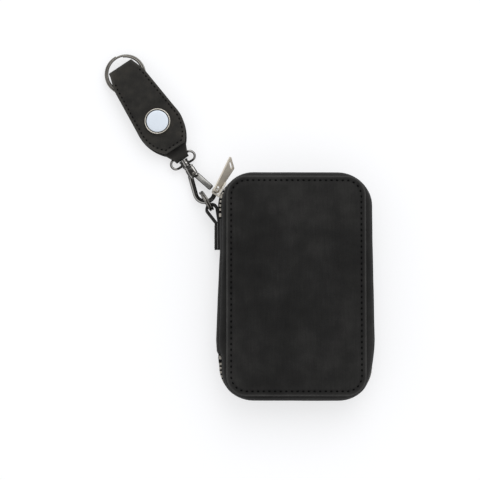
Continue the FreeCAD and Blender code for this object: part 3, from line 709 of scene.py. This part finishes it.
def stripPiece(name, path, across, widths, thickness, material, slot, body, replaces=(), lip=0.25):
    top = thickness / 2
    # inset from the strip's side, height over its middle, wear and painted highlight
    edge = [(lip * 3, top, 0.0), (lip, top, 0.15), (lip / 3, top - lip / 3, 0.5), (0.0, top - lip, 0.3)]
    edge += [(inset, -height, wornAndLit) for inset, height, wornAndLit in reversed(edge)]
    section = [(1, *e) for e in edge] + [(-1, *e) for e in reversed(edge)]
    verts, wear = [], []
    for i, (p, width) in enumerate(zip(path, widths)):
        along = (path[min(i + 1, len(path) - 1)] - path[max(i - 1, 0)]).normalized()
        up = along.cross(across).normalized()
        verts += [p + across * side * (width / 2 - inset) + up * height for side, inset, height, _ in section]
        wear += [wornAndLit for *_, wornAndLit in section]
    makePiece(name, verts, tubeFaces(len(path), len(section)), material, slot, body, replaces, wear)


# Loop tab on the spine side: a doubled strip that opens into a loop

tab = {"thickness": 1.45, "width": 5.0, "seam": 0.06, "straightTop": 32.2, "legSteps": 8, "bendSteps": 6,
       "loopRadius": 2.6, "lastAngle": 200.0, "loopSteps": 22, "stitchInset": 0.9, "stitchSink": 0.14,
       "tuck": 1.1}  # the sewn end follows the soft wall inward
tabStitch = {**stitch, "pitch": 2.3, "radius": 0.28}


def makeTab():
    low, high = nodeBox("loop_tab")
    centre, _ = jointLine("ring_swing")
    half, top = tab["thickness"] / 2, tab["straightTop"]
    inner = high.x - half + tab["tuck"]
    outer = high.x - 3 * half - tab["seam"] + tab["tuck"]
    start, hold = Vector((inner, low.y, centre.z)), Vector((inner, top, centre.z))
    crotch, end = Vector((outer, top, centre.z)), Vector((outer, low.y, centre.z))
    loop = arcPath(centre, tab["loopRadius"], 0, tab["lastAngle"], tab["loopSteps"], rightward, forward)
    path = [start] + runPath(start, hold, tab["legSteps"]) + [hold]
    path += runPath(hold, loop[0], tab["bendSteps"]) + loop + runPath(loop[-1], crotch, tab["bendSteps"])
    path += [crotch] + runPath(crotch, end, tab["legSteps"]) + [end]
    stripPiece("leather_loop_tab", path, upward, [tab["width"]] * len(path), tab["thickness"], caseLeather,
               "fob_leather", "back_half", ["loop_tab"])
    face = outer - half + tab["stitchSink"]
    inset, reach = tab["stitchInset"], tab["width"] / 2 - tab["stitchInset"]
    first, last = low.y + inset, top - 2 * inset
    corners = [(first, reach), (last, reach), (last, -reach), (first, -reach)]
    sewn = [Vector((face, y, centre.z + z)) for y, z in corners]
    stitchRow("tab_stitches", sewn, lambda p: -rightward, "back_half", "fob_leather", look=tabStitch)


makeTab()
print("loop tab made")


# Fob: a strap and a flap of one outline, a fold that bends between them, and the neck round the hook's bar

foldPlace, foldAxis = jointLine("flap_open")
neckPlace, _ = jointLine("fob_lift")
fobAlong = Vector((-foldAxis.y, foldAxis.x, 0))
fobAcross = Vector((foldAxis.x, foldAxis.y, 0)) * -1
fob = {
    # outline: places along from the fold's outer face, and widths there
    "tipAt": -0.9, "tipWidth": 13.7, "bendAt": 0.9, "bendWidth": 14.2, "sideAt": 7.4, "sideWidth": 18.5,
    "fullAt": 32.0, "fullWidth": 23.0, "shoulderAt": 43.4, "shoulderWidth": 20.1, "endAt": 49.6,
    "endWidth": 11.0, "slopeStep": 0.2,
    "thickness": 2.2, "strapLow": 0.6, "gap": 2.4, "strapReach": 1.3, "straightSteps": 44,
    "foldOuter": 3.4, "foldAt": 2.5, "foldSteps": 28, "foldTurn": 0.44, "turnedAt": 7.4,
    # distance from the edge, height against the face
    "top": [(0.0, -0.6), (0.15, -0.3), (0.45, -0.08), (0.9, -0.02), (1.25, -0.1), (1.6, -0.2), (2.0, -0.1),
            (2.8, 0.02), (4.5, 0.06)],
    "plain": [(0.0, -0.3), (0.15, -0.14), (0.45, -0.04), (0.9, 0.0)],
    "under": [(0.0, 0.3), (0.2, 0.1), (0.6, 0.0)],
    "groove": [(0.8, 0.0), (3.0, 1.0)],  # distance from the fold, share of the sewn groove
    # lighter near the edge: wear and painted highlight
    "wornAndLit": [(0.0, 0.4), (0.3, 0.65), (0.9, 0.35), (1.6, 0.0)],
    "uneven": 0.08, "unevenScale": 0.15, "unevenFrom": 3.0, "unevenTurn": 9,
    "stitchInset": 1.6, "stitchFrom": 2.5, "stitchTurn": 0.4, "stitchSteps": 60, "stitchSink": 0.14,
}
fobStitch = {**stitch, "pitch": 2.3, "length": 1.15, "radius": 0.34}
fobEdges = [distance for distance, _ in fob["top"]]
fobStart = foldPlace - fobAlong * fob["foldOuter"]
flapLow = fob["strapLow"] + fob["thickness"] + fob["gap"]


def onFob(x, y, z):
    return Vector((fobStart.x, fobStart.y, 0)) + fobAlong * x + fobAcross * y + Vector((0, 0, z))


def alongFob(p):
    return (p - fobStart).dot(fobAlong)


def circleThrough(a, b, c):
    d = 2 * (a.x * (b.y - c.y) + b.x * (c.y - a.y) + c.x * (a.y - b.y))
    sums = [p.length_squared for p in (a, b, c)]
    x = (sums[0] * (b.y - c.y) + sums[1] * (c.y - a.y) + sums[2] * (a.y - b.y)) / d
    y = (sums[0] * (c.x - b.x) + sums[1] * (a.x - c.x) + sums[2] * (b.x - a.x)) / d
    return Vector((x, y)), (a - Vector((x, y))).length


def outlinePoint(name):
    return Vector((fob[name + "At"], fob[name + "Width"] / 2))


fobSides = [tuple(outlinePoint(name)) for name in ("tip", "bend", "side", "full")]
shoulderCentre, shoulderRadius = circleThrough(*(outlinePoint(name) for name in ("full", "shoulder", "end")))


def fobHalf(x):
    if x <= fob["fullAt"]:
        return between(fobSides, x)
    return shoulderCentre.y + math.sqrt(max(shoulderRadius ** 2 - (x - shoulderCentre.x) ** 2, 0.0))


def fobSlope(x, step):
    return (fobHalf(min(x + step, fob["endAt"])) - fobHalf(x - step)) / (2 * step)


def edgeDistance(x, y):
    slope = fobSlope(x, fob["slopeStep"])
    return max(min((fobHalf(x) - abs(y)) / math.hypot(1, slope), fob["endAt"] - x), 0.0)


def flapTurn(x):
    return between([(fob["foldAt"], fob["foldTurn"]), (fob["turnedAt"], 1.0)], x)


def turnWithFlap(piece, turns):
    # bakes the piece's placement into its mesh
    low = onFob(0, 0, fob["strapLow"]) * mm
    high = onFob(0, 0, fob["strapLow"] + 2 * fob["foldOuter"]) * mm
    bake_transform(piece)


def fobStations():
    # middle of the leather, its outward side, place for the width and share of the flap's turn
    straight = fob["endAt"] - fobEdges[-1] - fob["foldAt"]
    spots = [fob["foldAt"] + straight * i / fob["straightSteps"] for i in range(fob["straightSteps"])]
    spots += [fob["endAt"] - distance for distance in reversed(fobEdges)]
    half = fob["thickness"] / 2
    drawn = [(fob["fullAt"], 0.0), (fob["endAt"], fob["strapReach"])]  # the strap reaches past the flap
    stations = []
    for x in reversed(spots):
        stations.append((onFob(x + between(drawn, x), 0, fob["strapLow"] + half), -upward, x, 0.0))
    centre = onFob(fob["foldAt"], 0, fob["strapLow"] + fob["foldOuter"])
    for i in range(1, fob["foldSteps"]):
        share = i / fob["foldSteps"]
        angle = math.radians(270 - 180 * share)
        outward = fobAlong * math.cos(angle) + upward * math.sin(angle)
        x = fob["foldAt"] + fob["foldOuter"] * math.cos(angle)
        stations.append((centre + outward * (fob["foldOuter"] - half), outward, x, fob["foldTurn"] * share))
    return stations + [(onFob(x, 0, flapLow + half), upward, x, flapTurn(x)) for x in spots]


def makeFobLeather():
    stations, half = fobStations(), fob["thickness"] / 2
    verts, wear, turns = [], [], []
    for face in (1, -1):
        for middle, outward, x, turn in stations:
            sewn = between(fob["groove"], x - fob["foldAt"])
            outer = [fobHalf(x) - distance for distance in fobEdges]
            spots = outer + [outer[-1] * 0.5, 0.0]
            spots += [-s for s in reversed(spots[:-1])]
            for y in spots:
                distance = edgeDistance(x, y)
                uneven = fob["uneven"] * min(distance / fob["unevenFrom"], 1.0)
                soft = wobble(Vector((x, y, turn * fob["unevenTurn"])), fob["unevenScale"], uneven)
                top = between(fob["top"], distance) * sewn + between(fob["plain"], distance) * (1 - sewn)
                rise = half + top if face > 0 else between(fob["under"], distance) - half
                verts.append(middle + fobAcross * y + outward * (rise + soft))
                wear.append(between(fob["wornAndLit"], distance) if face > 0 else 0.0)
                turns.append(turn)
    leather = makePiece("leather_fob", verts, skinFaces(len(stations), len(spots)), fobLeather, "fob_leather",
                        replaces=["fob_strap", "fob_fold", "fob_flap"], wear=wear)
    turnWithFlap(leather, turns)


def fobStitches(name, height, side, body=None):
    inset, sidePath = fob["stitchInset"], []
    first = fob["foldAt"] + fob["stitchFrom"]
    for i in range(fob["stitchSteps"]):
        x = first + (fob["endAt"] - first) * i / (fob["stitchSteps"] - 1)
        inward = Vector((fobSlope(x, fob["slopeStep"] / 2), -1)).normalized()
        spot = Vector((x, fobHalf(x))) + inward * inset
        if spot.x < fob["endAt"] - inset:
            sidePath.append(spot)
    sidePath.append(Vector((fob["endAt"] - inset, sidePath[-1].y - fob["stitchTurn"])))
    path = sidePath + [Vector((p.x, -p.y)) for p in reversed(sidePath)]
    return stitchRow(name, [onFob(p.x, p.y, height) for p in path], lambda p: upward * side, body,
                     "fob_leather", closed=False, look=fobStitch)


neck = {"rootWidth": 12.6, "width": 7.4, "widthFrom": 1.0, "thickness": 1.1, "lip": 0.3, "radius": 1.8,
        "bendFirst": -90.0, "bendLast": 115.0, "bendSteps": 22, "runSteps": 6, "downSteps": 12,
        "tail": 46.0, "tailRise": 0.2, "landing": 48.5, "landingRise": 0.6, "landedShare": 0.7,
        "dropBack": 2.6, "dropRise": 0.9, "steer": 2.0}


def makeNeck():
    at, height = alongFob(neckPlace), neckPlace.z
    low, top = fob["strapLow"] + neck["thickness"] / 2, fob["strapLow"] + fob["thickness"]
    bend = arcPath(onFob(at, 0, height), neck["radius"], neck["bendFirst"], neck["bendLast"],
                   neck["bendSteps"], fobAlong, upward)
    start = onFob(neck["tail"], 0, low + neck["tailRise"])
    controls = [bend[-2], bend[-1],
                onFob(at - neck["dropBack"], 0, height + neck["dropRise"]),
                onFob(neck["landing"], 0, top + neck["landingRise"]),
                onFob(neck["tail"], 0, top + neck["landingRise"] * neck["landedShare"]),
                onFob(neck["tail"] - neck["steer"], 0, top)]
    spans = len(controls) - 3
    down = [curvePoint(controls, spans * i / neck["downSteps"]) for i in range(1, neck["downSteps"] + 1)]
    path = [start] + runPath(start, bend[0], neck["runSteps"]) + bend + down
    taper = [(neck["tail"], neck["rootWidth"]), (fob["endAt"], neck["rootWidth"]),
             (at + neck["widthFrom"], neck["width"])]
    widths = [between(taper, alongFob(p)) for p in path]
    stripPiece("leather_neck", path, fobAcross, widths, neck["thickness"], fobLeather, "fob_leather", "fob",
               lip=neck["lip"])


makeFobLeather()
flapStitches = fobStitches("flap_stitches", flapLow + fob["thickness"] - fob["stitchSink"], 1)
turnWithFlap(flapStitches, [flapTurn(alongFob(v.co / mm)) for v in flapStitches.data.vertices])
fobStitches("strap_stitches", fob["strapLow"], -1, "fob")
makeNeck()
print("fob made")


# Bars and turned pieces

def barMesh(path, sizes, square=1.0, sides=14, closed=False):
    # half width across the path and half height over it; a smaller square gives flatter faces
    verts, last = [], len(path) - 1
    for i, (p, (wide, high)) in enumerate(zip(path, sizes)):
        if closed:
            before, after = path[i - 1], path[(i + 1) % len(path)]
        else:
            before, after = path[max(i - 1, 0)], path[min(i + 1, last)]
        side = (after - before).cross(upward).normalized()
        for k in range(sides):
            angle = 2 * math.pi * (k + 0.5) / sides
            c, s = math.cos(angle), math.sin(angle)
            verts.append(p + side * math.copysign(abs(c) ** square, c) * wide
                         + upward * math.copysign(abs(s) ** square, s) * high)
    if closed:
        return verts, bandFaces(len(path), sides, True, True)
    return verts, tubeFaces(len(path), sides)


def turnedMesh(profile, centre, axis, steps=48):
    right = axis.orthogonal().normalized()
    up = axis.cross(right)
    verts = []
    for radius, place in profile:
        verts += circlePoints(centre + axis * place, right * radius, up * radius, steps)
    return verts, bandFaces(len(profile), steps, True, False)


# Split rings: two turns of round wire, one passing over to the other in a short crossing

splitRing = {"wire": 0.56, "turn": 700.0, "crossFrom": 0.42, "crossOver": 0.16, "sides": 12}
keyRing = {**splitRing, "outerTurn": 9.93, "innerTurn": 9.08, "lowTurn": -0.42, "highTurn": 0.42,
           "firstAngle": 118.0, "steps": 220}
loopRing = {**splitRing, "outerTurn": 5.2, "innerTurn": 5.12, "lowTurn": -0.58, "highTurn": 0.58,
            "firstAngle": 215.0, "steps": 160}


def makeRing(name, centre, right, up, look, body, node):
    verts, count = [], look["sides"]
    axis = right.cross(up)
    for i in range(look["steps"] + 1):
        share = i / look["steps"]
        turn = math.radians(look["firstAngle"] + look["turn"] * share)
        cross = min(max((share - look["crossFrom"]) / look["crossOver"], 0.0), 1.0)
        cross = cross * cross * (3 - 2 * cross)
        radius = look["outerTurn"] + (look["innerTurn"] - look["outerTurn"]) * cross
        height = look["lowTurn"] + (look["highTurn"] - look["lowTurn"]) * cross
        out = right * math.cos(turn) + up * math.sin(turn)
        middle = centre + out * radius + axis * height
        verts += circlePoints(middle, out * look["wire"], axis * look["wire"], count)
    makePiece(name, verts, tubeFaces(look["steps"] + 1, count), steel, "steel", body, [node])


# Swivel hook, placed along from the strap's bar to the bow, and across

hookPlace, hookAlong = jointLine("swivel_turn")
hookAcross = Vector((-hookAlong.y, hookAlong.x, 0))
hook = {
    "eyeWire": 0.62, "eyePitch": 5.0, "eyeStraight": 4.1, "eyeSteps": 16,
    # radius, place along
    "collar": [(0.9, 2.6), (2.1, 2.62), (2.35, 2.85), (2.35, 3.3), (2.1, 3.5), (2.0, 3.8), (2.3, 4.0),
               (2.5, 4.3), (2.5, 5.3), (2.25, 5.6), (2.1, 5.75), (2.1, 5.95), (2.4, 6.1), (2.45, 6.3),
               (2.2, 6.45), (0.9, 6.45), (0.9, 2.6)],
    # place along, half width, half height of the cast body
    "body": [(6.55, 1.9, 1.9), (6.65, 2.3, 2.2), (7.0, 2.45, 2.3), (7.4, 2.45, 2.3), (7.55, 2.2, 2.1),
             (7.85, 2.2, 2.1), (8.1, 2.45, 2.25), (8.4, 2.55, 2.3), (11.5, 2.6, 2.3), (11.75, 2.5, 2.25),
             (11.9, 2.2, 2.05), (12.15, 2.2, 2.05), (12.3, 2.45, 2.2), (12.8, 2.35, 2.1), (13.05, 1.7, 1.6)],
    "bodySide": 0.55, "bodySquare": 0.4, "bodySides": 20, "bodyEnd": 13.0, "bodyPaintedLight": 1.75,
    "armStart": (11.3, -1.0), "armBar": 1.17, "armRoot": 1.4, "armSteps": 8, "armTaper": 24,
    "armSquare": 0.8, "armSides": 16, "armNose": [0.92, 0.6],
    "bowCentre": (22.2, 0.9), "bowRadius": 4.9, "bowFirst": -106.4, "bowLast": 80.0, "bowSteps": 30,
    "opening": (18.0, 1.2),
    "gateStart": (12.3, 1.85), "gateTip": (22.3, 4.8), "gateWide": 1.5, "gateHigh": 1.0, "gateTop": 0.86,
    "gateSquare": 0.5, "gateSides": 24,
    # share of the gate's length, share of its size
    "gateShape": [(0.0, 0.85), (0.02, 1.0), (0.93, 1.0), (0.97, 0.9), (1.0, 0.6)],
    # radius, height
    "rivet": [(0.0, 2.8), (0.4, 2.76), (0.68, 2.62), (0.8, 2.42), (0.8, 2.25), (0.5, 2.2), (0.5, -2.2),
              (0.8, -2.25), (0.8, -2.42), (0.68, -2.62), (0.4, -2.76), (0.0, -2.8)],
    "rivetSteps": 24,
}


def onHook(x, y):
    return hookPlace + hookAlong * x + hookAcross * y


def paintLightBySide(piece):
    # painted highlight on the outer sides and the body's flanks, painted shade on the bow's inner side, both
    # set by which way each face points
    middle, rub = onHook(*hook["opening"]), []
    for v in piece.data.vertices:
        place = v.co / mm
        if (place - hookPlace).dot(hookAlong) < hook["bodyEnd"]:
            rub.append(abs(hookAcross.dot(v.normal)) * hook["bodyPaintedLight"])
        else:
            away = place - middle
            rub.append(Vector((away.x, away.y, 0)).normalized().dot(v.normal))
    setValues(piece.data, "rub", rub)


def makeEye():
    half, radius, steps = hook["eyeStraight"], hook["eyePitch"] / 2, hook["eyeSteps"]
    path = arcPath(onHook(radius, half), radius, 180, 0, steps, hookAlong, hookAcross)
    path += arcPath(onHook(radius, -half), radius, 0, -180, steps, hookAlong, hookAcross)
    wire = barMesh(path, [(hook["eyeWire"],) * 2] * len(path), closed=True)
    collar = turnedMesh(hook["collar"], hookPlace, hookAlong)
    eye = makePiece("wire_eye", *joined(wire, collar), gunmetal, "gunmetal", "swivel", ["swivel_eye"])
    paintLightBySide(eye)


def makeHook():
    line = [onHook(x, hook["bodySide"]) for x, *_ in hook["body"]]
    body = barMesh(line, [sizes for _, *sizes in hook["body"]], hook["bodySquare"], hook["bodySides"])
    bow = arcPath(onHook(*hook["bowCentre"]), hook["bowRadius"], hook["bowFirst"], hook["bowLast"],
                  hook["bowSteps"], hookAlong, hookAcross)
    start = onHook(*hook["armStart"])
    path = [start] + runPath(start, bow[0], hook["armSteps"]) + bow
    sizes = [between([(0, hook["armRoot"]), (hook["armTaper"], hook["armBar"])], i) for i in range(len(path))]
    sizes[-2:] = [hook["armBar"] * share for share in hook["armNose"]]
    arm = barMesh(path, [(size, size) for size in sizes], hook["armSquare"], hook["armSides"])
    piece = makePiece("cast_hook", *joined(body, arm), gunmetal, "gunmetal", "snap_hook", ["hook_frame"])
    paintLightBySide(piece)


def makeGate():
    start, tip = onHook(*hook["gateStart"]), onHook(*hook["gateTip"])
    path = [start.lerp(tip, share) for share, _ in hook["gateShape"]]
    sizes = [(hook["gateWide"] * size, hook["gateHigh"] * size) for _, size in hook["gateShape"]]
    bar = barMesh(path, sizes, hook["gateSquare"], hook["gateSides"])
    gate = makePiece("spring_gate", *bar, gateMetal, "gunmetal", "gate", ["hook_gate"])
    gate.data.materials.append(shadeMetal)
    # top faces in light nickel, the sides in dark metal as painted shade
    for polygon in gate.data.polygons:
        polygon.material_index = 0 if polygon.normal.z > hook["gateTop"] else 1
    pin, _ = jointLine("gate_open")
    rivet = turnedMesh(hook["rivet"], pin, upward, hook["rivetSteps"])
    makePiece("gate_rivet", *rivet, steel, "steel", "snap_hook", ["gate_pin"])


ringPlace, _ = jointLine("key_ring_turn")
makeRing("wire_key_ring", ringPlace, rightward, forward, keyRing, "big_ring", "key_ring")
ringPlace, _ = jointLine("hook_swing")
makeRing("wire_loop_ring", ringPlace, hookAlong, upward, loopRing, "small_ring", "loop_ring")
makeEye()
makeHook()
makeGate()
print("rings and hook made")


# Snap cap: a rounded bezel, a groove darkened with painted shade, and a pale disc

snap = {
    # radius, height over the flap
    "profile": [(0.0, -2.0), (1.4, -2.0), (1.4, -0.1), (6.2, -0.1), (6.5, 0.0), (6.62, 0.35), (6.6, 0.8),
                (6.45, 1.15), (6.26, 1.34), (6.1, 1.38), (5.98, 1.3), (5.93, 1.05), (5.9, 0.7), (5.5, 0.7),
                (5.46, 1.1), (5.38, 1.18), (5.0, 1.22), (3.0, 1.24), (0.0, 1.25)],
    "disc": 5.48, "groove": 5.94, "faceFrom": 0.5, "steps": 72,
}


def makeSnapCap():
    low, high = nodeBox("snap_cap")
    base = (low + high) / 2
    base.z = flapLow + fob["thickness"]
    turned = turnedMesh(snap["profile"], base, upward, snap["steps"])
    cap = makePiece("turned_snap_cap", *turned, nickel, "nickel", "flap", ["snap_cap"])
    cap.data.materials.append(shadeMetal)
    cap.data.materials.append(pearl)
    # the groove in dark metal as painted shade, the disc pale
    for polygon in cap.data.polygons:
        away = polygon.center / mm - base
        radius = math.hypot(away.x, away.y)
        if radius < snap["groove"] and away.z > snap["faceFrom"]:
            polygon.material_index = 2 if radius < snap["disc"] else 1


makeSnapCap()
print("snap cap made")


# Pieces kept from the frame: their finish, with smooth rounds and soft edges

keyHooks = [f"key_hook_{index}" for index in range(1, 7)]
dressed = [
    (gunmetal, ["swivel_post"]),
    (toothMetal, ["back_zip_teeth", "front_zip_teeth"]),
    (nickel, ["slider_body", "slider_bridge", "back_zip_stops", "front_zip_stops", "key_rail",
              "key_rail_rivets", "snap_socket", "snap_stud", "snap_back"] + keyHooks),
    (tagMetal, ["pull_tag"]),
    (boardFibre, ["back_board", "front_board"]),
]
edges = {"softness": 0.12, "segments": 2, "sharpFrom": 50.0}


def dressNode(node, material):
    piece = frame["nodes"][node]
    piece.data.materials.clear()
    piece.data.materials.append(material)
    piece.data.shade_smooth()
    piece.data.set_sharp_from_angle(angle=math.radians(edges["sharpFrom"]))
    soften = piece.modifiers.new("edges", "BEVEL")
    soften.width = edges["softness"] * mm
    soften.segments = edges["segments"]
    soften.limit_method = "ANGLE"


for material, nodes in dressed:
    for node in nodes:
        dressNode(node, material)
print("frame pieces dressed")


# Studio: pale floor, soft light from above the picture, camera almost straight above

studio = {
    # metres and watts
    "floorSize": 6.0, "floorDrop": 0.0003, "floorBounce": (0.92, 0.925, 0.93, 1),
    "floorSeen": (0.4, 0.405, 0.42, 1), "floorGlow": 0.62,
    "lampPlace": (0.2, 0.85, 1.1), "lampSize": 1.2, "lampPower": 7.0,
    # share of the height from below to above, colour
    "sky": [(0.5, (0.6, 0.6, 0.61)), (0.62, (0.8, 0.8, 0.81)), (0.8, (1.02, 1.02, 1.03)),
            (0.93, (0.7, 0.7, 0.7)), (1.0, (0.28, 0.28, 0.28))],
}
view = {"centre": (-27.75, 23.25), "distance": 1000.0, "across": 240.0, "lean": (-20.0, -70.0),
        "sensor": 36.0, "clip": (0.05, 20.0)}  # the clip is in metres


def makeFloor():
    bpy.ops.mesh.primitive_plane_add(size=studio["floorSize"], location=(0, 0, -studio["floorDrop"]))
    floor = bpy.context.object
    floor.name = "floor"
    # seen directly or mirrored it glows toward white and keeps a pale shadow; other rays meet a plain floor
    plain = {"Base Color": studio["floorBounce"], "Roughness": 0.9, "Specular IOR Level": 0.0}
    glowing = {"Base Color": studio["floorSeen"], "Specular IOR Level": 0.0, "Emission Color": (1, 1, 1, 1),
               "Emission Strength": studio["floorGlow"]}
    finish = Finish("pale_floor", plain)
    seen = finish.node("ShaderNodeBsdfPrincipled", {}, glowing)
    path = finish.node("ShaderNodeLightPath")
    rays = [finish.out(path, f"Is {kind} Ray") for kind in ("Camera", "Glossy", "Transmission")]
    shown = (rays[0] + rays[1] + rays[2]).clamped()
    shaders = {0: shown, 1: finish.out(finish.shader), 2: finish.out(seen)}
    mixed = finish.node("ShaderNodeMixShader", {}, shaders)
    finish.tree.links.new(mixed.outputs[0], finish.tree.nodes["Material Output"].inputs["Surface"])
    floor.data.materials.append(finish.material)


def makeLight():
    world = bpy.data.worlds.new("studio")
    bpy.context.scene.world = world
    world.use_nodes = True
    sky = Shading(world.node_tree)
    direction = sky.out(sky.node("ShaderNodeTexCoord"), "Generated")
    height = sky.out(sky.node("ShaderNodeSeparateXYZ", {}, {0: direction}), "Z")
    background = sky.tree.nodes["Background"]
    sky.tree.links.new(sky.ramp(height * 0.5 + 0.5, studio["sky"]).socket, background.inputs["Color"])
    background.inputs["Strength"].default_value = 1.0
    lamp = bpy.data.lights.new("softbox", "AREA")
    lamp.size = studio["lampSize"]
    lamp.energy = studio["lampPower"]
    softbox = addObject("softbox", lamp)
    softbox.location = studio["lampPlace"]
    softbox.rotation_euler = (-softbox.location).to_track_quat("-Z", "Y").to_euler()


def makeCamera():
    lens = bpy.data.cameras.new("camera")
    lens.sensor_width = view["sensor"]
    lens.lens = view["sensor"] * view["distance"] / view["across"]
    lens.clip_start, lens.clip_end = view["clip"]
    camera = addObject("camera", lens)
    target = Vector((*view["centre"], case["middle"])) * mm
    camera.location = target + Vector((*view["lean"], view["distance"])) * mm
    back = (camera.location - target).normalized()
    right = forward.cross(back).normalized()  # +Y stays up in the picture
    camera.rotation_euler = Matrix((right, back.cross(right), back)).transposed().to_euler()
    bpy.context.scene.camera = camera


makeFloor()
makeLight()
makeCamera()
bpy.context.scene.view_settings.view_transform = "Standard"
